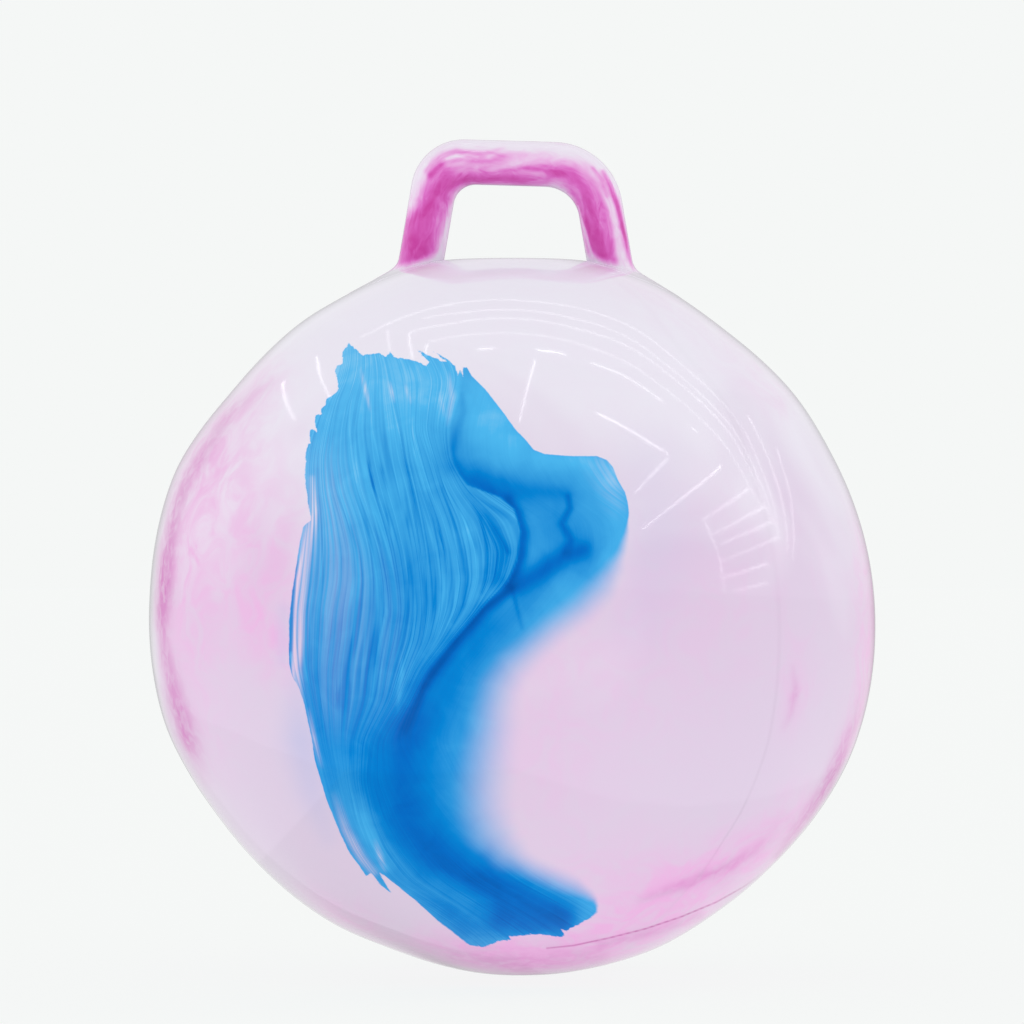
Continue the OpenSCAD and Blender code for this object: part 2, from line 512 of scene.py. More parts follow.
@dataclass(frozen=True)
class MarbledVinyl(SoftVinyl):
    """Milky vinyl with pink and blue shots that ran into each other as the mould turned.

    The eye sees a milky ground with soft pink veils, magenta streaks, and a blue that is brushed into
    fine strands where it dragged, and smooth and deep where it pooled.
    """

    milk: str = "#ebe8f3"
    lilac: str = "#dccde2"
    veil: str = "#ebb5e2"
    magenta: str = "#cf66bb"
    # Pale colour of the painted reflection along the left limb
    rim_reflection: str = "#dcdde2"
    wash: str = "#8fb0e4"
    fold: str = "#c060a8"
    # Half width of the fine fold line
    fold_mm: float = 0.9
    blues: tuple[tuple[float, str], ...] = (
        (0.0, "#92d2f6"),
        (0.2, "#4cb8f0"),
        (0.42, "#359ee0"),
        (0.62, "#0083d3"),
        (0.8, "#006bc5"),
        (1.0, "#0052a6"),
    )
    # Millimetres across the drift of where milk turns to lilac, the wisps in the pink, the flecks in the
    # streaks, the clouds in the blue and the tears of its edge
    drift_mm: float = 120.0
    wisp_mm: float = 26.0
    fleck_mm: float = 9.0
    cloud_mm: float = 18.0
    tear_mm: float = 3.5
    # Strands in a pixel across the drag, and how they, the hairs between them and the clouds change the blue
    strand_pitch: float = 0.115
    coarse_depth: float = 0.22
    fine_depth: float = 0.18
    hair_spread: float = 0.05
    dark_hair_depth: float = 0.12
    light_hair_depth: float = 0.1
    cloud_depth: float = 0.18
    # Heights in metres over which the lilac below turns to paler milk above, and how far they drift
    milky_from: float = 0.21
    milky_to: float = 0.37
    drift_share: float = 0.3

    def make(self) -> bpy.types.Material:
        """Builds the material of the ball's skin."""
        making = Finish("rotomoulded_marbled_vinyl")
        place = making.out(Kind.PLACE)
        colour = self.ground(making, place)
        share = self.blue_share(making, place)
        colour = making.out(Kind.MIX, share, colour, self.blue(making, place))
        return self.coat(making, colour)

    def ground(self, making: Finish, place: Socket) -> Socket:
        """Milky ground, lilac lower down, with pink veils, magenta streaks and a painted reflection along
        the left limb.
        """
        out = making.out
        # Paler and bluer towards the top: lilac below, milk above, set by height
        drift = out(Kind.SUBTRACT, out(Kind.NOISE, place, per_metre(self.drift_mm), 2.0, 0.6), 0.5)
        height = out(Kind.ADD, out(Kind.HEIGHT, place), out(Kind.MULTIPLY, drift, self.drift_share))
        cloud = out(Kind.EASE, height, self.milky_from, self.milky_to, 1.0, 0.0)
        colour = out(Kind.MIX, cloud, self.milk, self.lilac)
        wisp = out(Kind.NOISE, place, per_metre(self.wisp_mm), 4.0, 1.6)
        wisp = out(Kind.EASE, wisp, 0.3, 0.72, 0.55, 1.35)
        fleck = out(Kind.NOISE, place, per_metre(self.fleck_mm), 3.0, 0.8)
        fleck = out(Kind.EASE, fleck, 0.25, 0.65, 0.6, 1.15)
        for name, breaks, hue in (("veil", wisp, self.veil), ("streak", fleck, self.magenta)):
            amount = out(Kind.MULTIPLY, out(Kind.NUMBER, attribute_name=name), breaks)
            colour = out(Kind.MIX, out(Kind.MINIMUM, amount, 1.0), colour, hue)
        fold = making.put("ShaderNodeSeparateXYZ", {0: out(Kind.VECTOR, attribute_name="fold")}).outputs
        drawn = out(Kind.EASE, fold[0], 0.0, self.fold_mm, 1.0, 0.0)
        colour = out(Kind.MIX, out(Kind.MULTIPLY, drawn, fold[1]), colour, self.fold)
        colour = out(Kind.MIX, out(Kind.NUMBER, attribute_name="wash"), colour, self.wash)
        # Painted reflection: a pale band along the left limb, laid over all the pigments
        return out(Kind.MIX, out(Kind.NUMBER, attribute_name="rim_reflection"), colour, self.rim_reflection)

    def strands(self, making: Finish, times: float, run: float, detail: float) -> Socket:
        """Noise drawn out along the drag of the blue.

        Args:
            making: Material under construction.
            times: Fineness of the strands against the usual pitch.
            run: Number of changes for each metre along a strand.
            detail: Detail of the noise.

        Returns:
            Numbers from 0 to 1.
        """
        flow = making.out(Kind.VECTOR, attribute_name="flow")
        flow = making.put("ShaderNodeSeparateXYZ", {0: flow}).outputs
        across = making.out(Kind.MULTIPLY, flow[0], self.strand_pitch * times)
        where = making.out(Kind.JOIN, across, making.out(Kind.MULTIPLY, flow[1], run))
        settings = {"Vector": where, "Scale": 1.0, "Detail": detail, "Roughness": 0.6}
        return making.put("ShaderNodeTexNoise", settings).outputs["Fac"]

    def hairs(self, making: Finish, times: float, run: float) -> Socket:
        """Hair-thin lines along the drag, from 0 between them to 1 on them."""
        off = making.out(Kind.SUBTRACT, self.strands(making, times, run, 1.0), 0.5)
        return making.out(Kind.EASE, making.out(Kind.ABSOLUTE, off), 0.0, self.hair_spread, 1.0, 0.0)

    def blue(self, making: Finish, place: Socket) -> Socket:
        """Blue of the swirl, from its pooled depth and its brushed strands."""
        out = making.out
        brush = out(Kind.NUMBER, attribute_name="brush")
        depth = out(Kind.NUMBER, attribute_name="depth")
        layers = (
            (out(Kind.SUBTRACT, self.strands(making, 1.0, 7.0, 2.0), 0.5), self.coarse_depth),
            (out(Kind.SUBTRACT, self.strands(making, 2.7, 10.0, 2.0), 0.5), self.fine_depth),
            (self.hairs(making, 0.8, 5.0), self.dark_hair_depth),
            (self.hairs(making, 1.1, 6.0), -self.light_hair_depth),
        )
        for layer, amount in layers:
            brushed = out(Kind.MULTIPLY, out(Kind.MULTIPLY, layer, brush), amount)
            depth = out(Kind.ADD, depth, brushed)
        cloud = out(Kind.SUBTRACT, out(Kind.NOISE, place, per_metre(self.cloud_mm), 4.0, 0.8), 0.5)
        depth = out(Kind.ADD, depth, out(Kind.MULTIPLY, cloud, self.cloud_depth))
        ramp = making.put("ShaderNodeValToRGB", {0: depth})
        stops = ramp.color_ramp.elements
        while len(stops) < len(self.blues):
            stops.new(0.5)
        for stop, (position, code) in zip(stops, self.blues):
            stop.position = position
            stop.color = linear(code)
        return ramp.outputs[0]

    def blue_share(self, making: Finish, place: Socket) -> Socket:
        """Share of blue at the surface, crisp or soft as the outline is, with frayed ends."""
        out = making.out
        swirl = making.put("ShaderNodeSeparateXYZ", {0: out(Kind.VECTOR, attribute_name="swirl")}).outputs
        teeth = out(Kind.SUBTRACT, self.strands(making, 1.7, 4.0, 2.0), 0.5)
        reach = out(Kind.ADD, swirl[0], out(Kind.MULTIPLY, teeth, swirl[2]))
        torn = out(Kind.SUBTRACT, out(Kind.NOISE, place, per_metre(self.tear_mm), 3.0), 0.5)
        reach = out(Kind.ADD, reach, out(Kind.MULTIPLY, torn, out(Kind.NUMBER, attribute_name="torn")))
        half = out(Kind.MULTIPLY, swirl[1], 0.5)
        share = out(Kind.EASE, reach, out(Kind.MULTIPLY, half, -1.0), half)
        gap = out(Kind.EASE, self.strands(making, 2.2, 4.0, 1.0), 0.3, 0.7, 1.8, 0.2)
        gap = out(Kind.MULTIPLY, gap, out(Kind.NUMBER, attribute_name="parted"))
        return out(Kind.MULTIPLY, share, out(Kind.SUBTRACT, 1.0, out(Kind.MINIMUM, gap, 1.0)))


@dataclass(frozen=True)
class BowVinyl(SoftVinyl):
    """Clear-skinned vinyl over pink, as thick as it gets in this moulding.

    The eye sees saturated pink in the middle of the tube, wisps where the pink thins out, and a pale,
    glassy skin along the corners and the inner edges.
    """

    skin: str = "#ece4f1"
    pale: str = "#ecb9e6"
    pink: str = "#e072cb"
    deep: str = "#c9409f"
    # Millimetres across the wisps and the clouds of the deep pink, how much the wisps are drawn out along
    # the tube, and how far they change the pigment
    wisp_mm: float = 16.0
    cloud_mm: float = 12.0
    drawn_out: float = 2.6
    wisp_depth: float = 0.55

    def make(self) -> bpy.types.Material:
        """Builds the material of the bow."""
        making = Finish("rotomoulded_pink_vinyl")
        out = making.out
        place = out(Kind.PLACE)
        stretch = (1.0, self.drawn_out, self.drawn_out)
        stretched = out(Kind.MULTIPLY_VECTORS, out(Kind.VECTOR, attribute_name="run"), stretch)
        wisp = out(Kind.SUBTRACT, out(Kind.NOISE, stretched, per_metre(self.wisp_mm), 3.0, 1.2), 0.5)
        pigment = out(Kind.NUMBER, attribute_name="pigment")
        pigment = out(Kind.ADD, pigment, out(Kind.MULTIPLY, wisp, self.wisp_depth))
        cloud = out(Kind.NOISE, place, per_metre(self.cloud_mm), 3.0, 0.5)
        colour = out(Kind.MIX, out(Kind.EASE, pigment, 0.02, 0.5), self.skin, self.pale)
        colour = out(Kind.MIX, out(Kind.EASE, pigment, 0.3, 0.85), colour, self.pink)
        cloudy = out(Kind.EASE, cloud, 0.3, 0.7, 0.65, 1.0)
        deep = out(Kind.MULTIPLY, out(Kind.EASE, pigment, 0.65, 1.05), cloudy)
        return self.coat(making, out(Kind.MIX, deep, colour, self.deep))


@dataclass(frozen=True)
class PlainVinyl(SoftVinyl):
    """Injection-moulded or trimmed vinyl of one colour, a little cloudy and less polished."""

    name: str = "moulded_vinyl"
    colour: str = "#e4dcea"
    cloudy: str = "#dccfe3"
    cloud_mm: float = 12.0
    roughness: float = 0.3

    def make(self) -> bpy.types.Material:
        """Builds the material."""
        making = Finish(self.name)
        cloud = making.out(Kind.NOISE, making.out(Kind.PLACE), per_metre(self.cloud_mm), 3.0)
        cloud = making.out(Kind.EASE, cloud, 0.35, 0.7)
        return self.coat(making, making.out(Kind.MIX, cloud, self.colour, self.cloudy))


class Recipe(Nodes):
    """A Geometry Nodes tree under construction, with named inputs for its sizes."""

    def __init__(self, name: str, **inputs: str) -> None:
        """Starts a tree.

        Args:
            name: Name of the tree.
            inputs: For each input, its name with underscores for spaces, and its type of socket.
        """
        super().__init__(bpy.data.node_groups.new(name, "GeometryNodeTree"))
        face = self.tree.interface
        face.new_socket("Geometry", in_out="OUTPUT", socket_type="NodeSocketGeometry")
        labels = {label.replace("_", " "): f"NodeSocket{kind}" for label, kind in inputs.items()}
        labels["Vinyl"] = "NodeSocketMaterial"
        self.identifiers = {
            label: face.new_socket(label, in_out="INPUT", socket_type=kind).identifier
            for label, kind in labels.items()
        }
        self.source = self.put("NodeGroupInput").outputs

    def end(self, shape: Socket) -> "Recipe":
        """Ends the tree with real geometry in its material.

        Args:
            shape: Geometry that the tree has made.

        Returns:
            This tree.
        """
        real = self.put("GeometryNodeRealizeInstances", {0: shape})
        dressed = self.put("GeometryNodeSetMaterial", {0: real.outputs[0], 2: self.source["Vinyl"]})
        self.put("NodeGroupOutput", {0: dressed.outputs[0]})
        return self

    def cook(self, name: str, vinyl: bpy.types.Material, **values: object) -> Piece:
        """Runs the tree and returns its result as a plain mesh object.

        Args:
            name: Name of the piece.
            vinyl: Its material.
            values: Value of each named input, with underscores for spaces.

        Returns:
            The new object, at the origin and without modifiers.
        """
        made = link_mesh(name, np.zeros((0, 3)), [])
        modifier = made.modifiers.new(self.tree.name, "NODES")
        modifier.node_group = self.tree
        for label, value in {**values, "Vinyl": vinyl}.items():
            modifier[self.identifiers[label.replace("_", " ")]] = value
        depsgraph = bpy.context.evaluated_depsgraph_get()
        mesh = bpy.data.meshes.new_from_object(made.evaluated_get(depsgraph), depsgraph=depsgraph)
        made.modifiers.remove(modifier)
        made.data = mesh
        mesh.name = name
        log.info("%s: %d points", name, len(mesh.vertices))
        return made


def rail(name: str, lines: Sequence[Array]) -> Piece:
    """Makes a curve of straight pieces that a tree can follow.

    Args:
        name: Name of the curve.
        lines: For each line, rows of x, y and z in millimetres.

    Returns:
        The new object, which is linked to the scene.
    """
    curve = bpy.data.curves.new(name, "CURVE")
    curve.dimensions = "3D"
    for points in lines:
        spline = curve.splines.new("POLY")
        spline.points.add(len(points) - 1)
        spline.points.foreach_set("co", np.hstack([points * MM, np.ones((len(points), 1))]).ravel())
    made = bpy.data.objects.new(name, curve)
    bpy.context.scene.collection.objects.link(made)
    return made


def discard(*objects: Piece) -> None:
    """Deletes objects that only guided a tree."""
    for thing in objects:
        bpy.data.objects.remove(thing)


def arc(centre: Array, radius: float, start: float, end: float, steps: int) -> Array:
    """Rows of right and up along an arc in the bow's plane, from start to end in degrees from the right."""
    angles = np.radians(np.linspace(start, end, steps + 1))
    return centre + radius * np.stack([np.cos(angles), np.sin(angles)], axis=1)


def meeting(p: Array, d: Array, q: Array, e: Array) -> Array:
    """Point where the line through p along d meets the line through q along e."""
    gap = q - p
    return p + d * (gap[0] * e[1] - gap[1] * e[0]) / (d[0] * e[1] - d[1] * e[0])


@dataclass
class Bow:
    """The bow handle: two leaning legs with flared feet, two bends and a grip, between two rails."""

    crown_z: float
    tube_r: float = 13.75
    foot_spacing: float = 117.0
    shift: float = 2.2
    leg_lean: float = 9.8
    grip_fall: float = 1.6
    hand_gap_h: float = 46.4
    # Radii of the left and right bends on the tube's centre line, as the outer and the inner side have them
    outer_bends: Point = (18.8, 29.5)
    inner_bends: Point = (27.6, 35.7)
    fillet_r: float = 12.0
    # Heights on a leg's axis, above the crown, of the centres of the fillets, and degrees that they turn
    fillet_rises: Point = (-0.65, -2.46)
    fillet_sweeps: Point = (52.4, 51.2)
    root_h: float = 16.0
    arc_steps: int = 40
    sides: int = 96

    @classmethod
    def from_frame(cls) -> "Bow":
        """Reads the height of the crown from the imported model."""
        return cls(crown_z=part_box("ball_shell")[1].z / MM)

    def foot(self, side: int) -> Array:
        """Centre of a foot at the height of the crown: side is -1 on the left and 1 on the right."""
        return np.array([self.shift + side * self.foot_spacing / 2, self.crown_z])

    def flare(self, side: int, outwards: int) -> Array:
        """Line up one face of a leg, from its root through the fillet at its foot.

        Args:
            side: -1 for the left leg and 1 for the right.
            outwards: 1 for the outer face and -1 for the inner one.

        Returns:
            Rows of right and up, which end where the fillet meets the straight tube.
        """
        lean = math.radians(self.leg_lean)
        up = np.array([-side * math.sin(lean), math.cos(lean)])
        out = np.array([side * math.cos(lean), math.sin(lean)]) * outwards
        number = 0 if side < 0 else 1
        rise = self.fillet_rises[number]
        sweep = np.radians(np.linspace(self.fillet_sweeps[number], 0.0, self.arc_steps + 1))
        reach = self.tube_r + self.fillet_r * (1 - np.cos(sweep))
        height = rise - self.fillet_r * np.sin(sweep)
        reach = np.concatenate([[reach[0]], reach])
        height = np.concatenate([[-self.root_h], height])
        return self.foot(side) + height[:, None] * up + reach[:, None] * out

    def face(self, outwards: int, bends: Point) -> Array:
        """One whole side of the bow, outer or inner, from the left root to the right root.

        Args:
            outwards: 1 for the outer side and -1 for the inner one.
            bends: Radii of the left and right bends on the tube's centre line.

        Returns:
            Rows of right and up.
        """
        lean, fall = math.radians(self.leg_lean), math.radians(self.grip_fall)
        over = np.array([math.sin(fall), math.cos(fall)])
        along = np.array([math.cos(fall), -math.sin(fall)])
        middle = np.array([self.shift, self.crown_z + self.hand_gap_h + self.tube_r / math.cos(fall)])
        legs = {side: np.array([-side * math.sin(lean), math.cos(lean)]) for side in (-1, 1)}
        corners = {side: meeting(self.foot(side), leg, middle, along) for side, leg in legs.items()}
        parts = [self.flare(-1, outwards)]
        for side, bend in zip((-1, 1), bends):
            turn = math.radians(90 - self.leg_lean) - side * fall
            tangent = bend * math.tan(turn / 2)
            centre = corners[side] - side * tangent * along - bend * over
            radius = bend + outwards * self.tube_r
            over_angle = 90 - self.grip_fall
            if side < 0:
                parts.append(arc(centre, radius, 180 - self.leg_lean, over_angle, self.arc_steps))
            else:
                parts.append(arc(centre, radius, over_angle, self.leg_lean, self.arc_steps))
        parts.append(self.flare(1, outwards)[::-1])
        return self.even(parts)

    def even(self, parts: Sequence[Array]) -> Array:
        """Joins the feet and bends of one side, with the straight lengths between them divided alike.

        Args:
            parts: Left foot, left bend, right bend and right foot.

        Returns:
            Rows of right and up, as many on the outer side as on the inner one.
        """
        joined = [parts[0]]
        for before, after in zip(parts, parts[1:]):
            shares = np.linspace(0, 1, self.arc_steps + 1)[1:-1, None]
            joined += [before[-1] + shares * (after[0] - before[-1]), after]
        return np.concatenate(joined)

    def recipe(self) -> Recipe:
        """Tree that sweeps a circle between two rails, which set its middle and its radius."""
        rails = {"Outer_Rail": "Object", "Inner_Rail": "Object"}
        recipe = Recipe("two_rail_sweep", **rails, Rings="Int", Sides="Int")
        put, out, source = recipe.put, recipe.out, recipe.source
        grid = put("GeometryNodeMeshGrid", {0: 1.0, 1: 1.0, 2: source["Rings"], 3: source["Sides"]})
        place = put("ShaderNodeSeparateXYZ", {0: put("GeometryNodeInputPosition").outputs[0]}).outputs
        share = out(Kind.ADD, place[0], 0.5)
        ring = out(Kind.ROUND, out(Kind.MULTIPLY, share, out(Kind.SUBTRACT, source["Rings"], 1.0)))
        turn = out(Kind.MULTIPLY, place[1], 2 * math.pi)
        spots, lengths = [], []
        for label in ("Outer Rail", "Inner Rail"):
            curve = put("GeometryNodeObjectInfo", {0: source[label]}).outputs["Geometry"]
            spot = put("GeometryNodeInputPosition").outputs[0]
            length = put("GeometryNodeSplineParameter").outputs["Length"]
            spots.append(out(Kind.AT_POINT, curve, spot, ring, data_type="FLOAT_VECTOR"))
            lengths.append(out(Kind.AT_POINT, curve, length, ring, data_type="FLOAT"))
        half = out(Kind.SCALE, out(Kind.SUBTRACT_VECTORS, *spots), 0.5)
        middle = out(Kind.ADD_VECTORS, spots[1], half)
        radius = out(Kind.LENGTH, half)
        cosine = out(Kind.COSINE, turn)
        depth = out(Kind.MULTIPLY, radius, out(Kind.SINE, turn))
        across = out(Kind.ADD_VECTORS, middle, out(Kind.SCALE, half, cosine))
        spot = out(Kind.ADD_VECTORS, across, out(Kind.JOIN, 0.0, depth))
        along = out(Kind.MULTIPLY, out(Kind.ADD, *lengths), 0.5)
        run = out(Kind.JOIN, along, out(Kind.MULTIPLY, radius, cosine), depth)
        kept = put(
            "GeometryNodeStoreNamedAttribute",
            {"Geometry": grid.outputs[0], "Name": "run", "Value": run},
            data_type="FLOAT_VECTOR",
            domain="POINT",
        )
        moved = put("GeometryNodeSetPosition", {"Geometry": kept.outputs[0], "Position": spot})
        return recipe.end(moved.outputs[0])

    def make(self, vinyl: bpy.types.Material) -> Piece:
        """Builds the bow with its pigment.

        Args:
            vinyl: Material of the bow.

        Returns:
            The bow's mesh, closed at both roots inside the ball.
        """
        faces = (self.face(1, self.outer_bends), self.face(-1, self.inner_bends))
        lines = [np.insert(face, 1, 0.0, axis=1) for face in faces]
        outer, inner = (rail(f"bow_rail_{number}", [line]) for number, line in enumerate(lines))
        sizes = {"Outer_Rail": outer, "Inner_Rail": inner, "Rings": len(lines[0]), "Sides": self.sides + 1}
        made = self.recipe().cook("bow_tube", vinyl, **sizes)
        discard(outer, inner)
        face_outwards(made, close=True)
        return made


def eased_track(places: Array, known: Sequence[float], values: Sequence[float], reach: float) -> Array:
    """Value of a line through known points at each place, without corners.

    Args:
        places: Places to look up.
        known: Places of the known points.
        values: Values at the known points.
        reach: Distance over which neighbouring values run into each other.

    Returns:
        One value for each place.
    """
    shifts = np.linspace(-1.5 * reach, 1.5 * reach, 7)
    weights = np.exp(-((shifts / reach) ** 2))
    spread = [weight * np.interp(places + shift, known, values) for shift, weight in zip(shifts, weights)]
    return np.sum(spread, axis=0) / weights.sum()


@dataclass
class BallSkin:
    """The inflated ball: a sphere with a flat base patch, a flat crown and a skirt at each foot."""

    radius: float
    centre_z: float
    crown_z: float
    foot_offsets: tuple[float, float]
    skirt_r: float = 32.0
    skirt_rise: float = 1.5
    skirt_blend: float = 0.8
    crown_blend: float = 1.6
    base_blend: float = 2.0
    valve_hole_r: float = 10.0
    lip_h: float = 1.2
    # Angles from the crown in degrees, and rows of the mesh down to each
    row_stretches: Stretches = ((38.0, 44), (160.0, 208), (180.0, 14))
    # Angles from the front towards the right in degrees, and columns up to each
    column_stretches: Stretches = ((-74.0, 53), (-46.5, 46), (28.0, 116), (74.0, 76), (180.0, 53))
    # Stretches where the finer patch lies, under the blue, and its divisions of each face of the skin
    patch_row: int = 1
    patch_column: int = 2
    patch_split: int = 2
    # Out of round at the silhouette: clock angle in degrees from the top to the right, and millimetres
    out_of_round: tuple[Point, ...] = (
        (0, 0.0), (20, -0.1), (26, -0.9), (31, -2.8), (37, -4.1), (44, -3.4), (52, -2.1), (62, -2.8),
        (70, -1.8), (80, -0.5), (92, 0.8), (104, 2.3), (113, 2.8), (122, 1.2), (134, -1.1), (146, -1.3),
        (156, 0.4), (168, -0.7), (180, -1.3), (190, -3.2), (200, -5.5), (210, -3.9), (226, -4.7),
        (236, -4.4), (245, -1.8), (252, 0.7), (262, 0.5), (274, 0.0), (286, 1.6), (294, 2.6), (300, 0.3),
        (308, -2.6), (316, -2.1), (325, -0.6), (331, -1.3), (338, -0.5), (344, 0.0), (360, 0.0),
    )
    # Degrees over which those offsets run into each other
    offset_reach: float = 3.5

    @classmethod
    def from_frame(cls, bow: Bow) -> "BallSkin":
        """Reads the ball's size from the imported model.

        Args:
            bow: Bow whose feet the skirts meet.

        Returns:
            The skin.
        """
        low, high = (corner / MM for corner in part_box("ball_shell"))
        radius = (high.x - low.x) / 2
        base_r = 30.0
        return cls(
            radius=radius,
            centre_z=math.sqrt(radius**2 - base_r**2),
            crown_z=high.z,
            foot_offsets=(bow.foot(-1)[0] - bow.tube_r, bow.foot(1)[0] + bow.tube_r),
        )

    def skirt_angle(self, offset: float) -> float:
        """Angle from the vertical of the skirt at the outer edge of a foot, in radians."""
        return math.asin(offset / self.radius)

    def reach(self, way: Array) -> Array:
        """Distance from the ball's centre to its surface.

        Args:
            way: Unit directions, rows of x, y and z.

        Returns:
            Millimetres, one for each direction.
        """
        clock = np.degrees(np.arctan2(way[:, 0], way[:, 2])) % 360
        angles, offsets = zip(*self.out_of_round)
        result = np.full(len(way), self.radius)
        # The skirt's cone is looked at just past its rim, and never where its height would be endless
        margin, nowhere, level = 1.04, 0.1, 1e-3
        base_angle = math.asin(self.skirt_r / self.radius)
        slope = math.tan(base_angle + math.radians(self.skirt_rise))
        peak = self.radius * math.cos(base_angle) + self.skirt_r * slope
        for offset in self.foot_offsets:
            tilt = self.skirt_angle(offset)
            along = way[:, 0] * math.sin(tilt) + way[:, 2] * math.cos(tilt)
            aside = np.sqrt(np.maximum(0.0, 1.0 - along**2))
            cone = peak / np.maximum(along + aside * slope, nowhere)
            near = (along > 0) & (aside < math.sin(base_angle) * margin)
            result = np.where(near, soft_most(result, cone, self.skirt_blend), result)
        at_rim = 1.0 - way[:, 1] ** 2
        result = result + eased_track(clock, angles, offsets, self.offset_reach) * at_rim**2
        up = np.maximum(way[:, 2], level)
        down = np.maximum(-way[:, 2], level)
        result = soft_least(result, (self.crown_z - self.centre_z) / up, self.crown_blend)
        return soft_least(result, self.centre_z / down, self.base_blend)

    def rows(self) -> Array:
        """Angles from the crown of the mesh's rows, in radians."""
        start = math.degrees(math.atan(self.valve_hole_r / (self.crown_z - self.centre_z)))
        return np.radians(divided(start, self.row_stretches)[:-1])

    def columns(self) -> Array:
        """Angles round the ball of the mesh's columns, from the middle of the back, in radians."""
        return np.radians(divided(-180.0, self.column_stretches)[:-1]) - math.pi / 2

    def span(self, stretches: Stretches, number: int) -> tuple[int, int]:
        """First and last mesh lines of one stretch."""
        before = sum(count for _, count in stretches[:number])
        return before, before + stretches[number][1]

    def surface(self, tilt: Array, turn: Array) -> Array:
        """Points of the surface from the ball's centre, at angles from the crown and round the ball."""
        way = np.stack([np.sin(tilt) * np.cos(turn), np.sin(tilt) * np.sin(turn), np.cos(tilt)], axis=-1)
        return way * self.reach(way)[:, None]

    def square_to(self, tilt: Array, turn: Array) -> Array:
        """Unit directions out of the surface, which both meshes share where they meet.

        Args:
            tilt: Angles from the crown, in radians.
            turn: Angles round the ball.

        Returns:
            Rows of x, y and z.
        """
        step = 0.001
        down = self.surface(tilt + step, turn) - self.surface(tilt - step, turn)
        across = self.surface(tilt, turn + step) - self.surface(tilt, turn - step)
        out = np.cross(down, across)
        return out / np.linalg.norm(out, axis=1)[:, None]

    def made(self, name: str, points: Array, faces: list, out: Array) -> Piece:
        """Makes a mesh of skin whose normals are the directions out, or its own where they are 0."""
        piece = link_mesh(name, points, faces)
        piece.data.normals_split_custom_set_from_vertices(out.tolist())
        log.info("%s: %d points", name, len(points))
        return piece

    def make_skin(self) -> Piece:
        """Builds the skin, open where the valve seat and the finer patch fill it."""
        tilt, turn = np.meshgrid(self.rows(), self.columns(), indexing="ij")
        rows, columns = tilt.shape
        points = self.surface(tilt.ravel(), turn.ravel()) + (0, 0, self.centre_z)
        out = self.square_to(tilt.ravel(), turn.ravel())
        # The lip of the hole hangs from the first row, and one point closes the base patch
        out[:columns] = 0.0
        lip = points[:columns] - (0, 0, self.lip_h)
        points = np.concatenate([lip, points, [(0, 0, 0)]])
        out = np.concatenate([np.zeros((columns, 3)), out, [(0, 0, -1)]])
        # The faces under the finer patch are left out, with the points that only they use
        top, bottom = self.span(self.row_stretches, self.patch_row)
        left, right = self.span(self.column_stretches, self.patch_column)
        quads = np.array(grid_faces(rows + 1, columns)).reshape(rows, columns, 4)
        kept = np.ones((rows, columns), bool)
        kept[top + 1 : bottom + 1, left:right] = False
        quads = quads[kept]
        used = np.zeros(len(points), bool)
        used[quads] = True
        used[-1] = True
        number = np.cumsum(used) - 1
        last = rows * columns + np.arange(columns)
        fan = np.stack([last, np.full(columns, len(points) - 1), np.roll(last, -1)], axis=1)
        faces = number[quads].tolist() + number[fan].tolist()
        return self.made("ball_skin", points[used], faces, out[used])

    def make_patch(self) -> Piece:
        """Builds the finer patch of skin that carries the blue."""
        top, bottom = self.span(self.row_stretches, self.patch_row)
        left, right = self.span(self.column_stretches, self.patch_column)
        rows = split(self.rows()[top : bottom + 1], self.patch_split)
        columns = split(self.columns()[left : right + 1], self.patch_split)
        tilt, turn = np.meshgrid(rows, columns, indexing="ij")
        points = self.surface(tilt.ravel(), turn.ravel()) + (0, 0, self.centre_z)
        numbers = np.arange(tilt.size).reshape(tilt.shape)
        corners = (numbers[:-1, :-1], numbers[1:, :-1], numbers[1:, 1:], numbers[:-1, 1:])
        faces = np.stack([corner.ravel() for corner in corners], axis=1).tolist()
        return self.made("swirl_skin", points, faces, self.square_to(tilt.ravel(), turn.ravel()))


def divided(start: float, stretches: Stretches) -> Array:
    """Numbers from start through the end of each stretch, evenly spaced within it."""
    result = [np.array([start])]
    for end, count in stretches:
        result.append(np.linspace(start, end, count + 1)[1:])
        start = end
    return np.concatenate(result)


def split(values: Array, times: int) -> Array:
    """Values with each step between them divided evenly."""
    places = np.arange(len(values))
    return np.interp(np.linspace(0, len(values) - 1, (len(values) - 1) * times + 1), places, values)


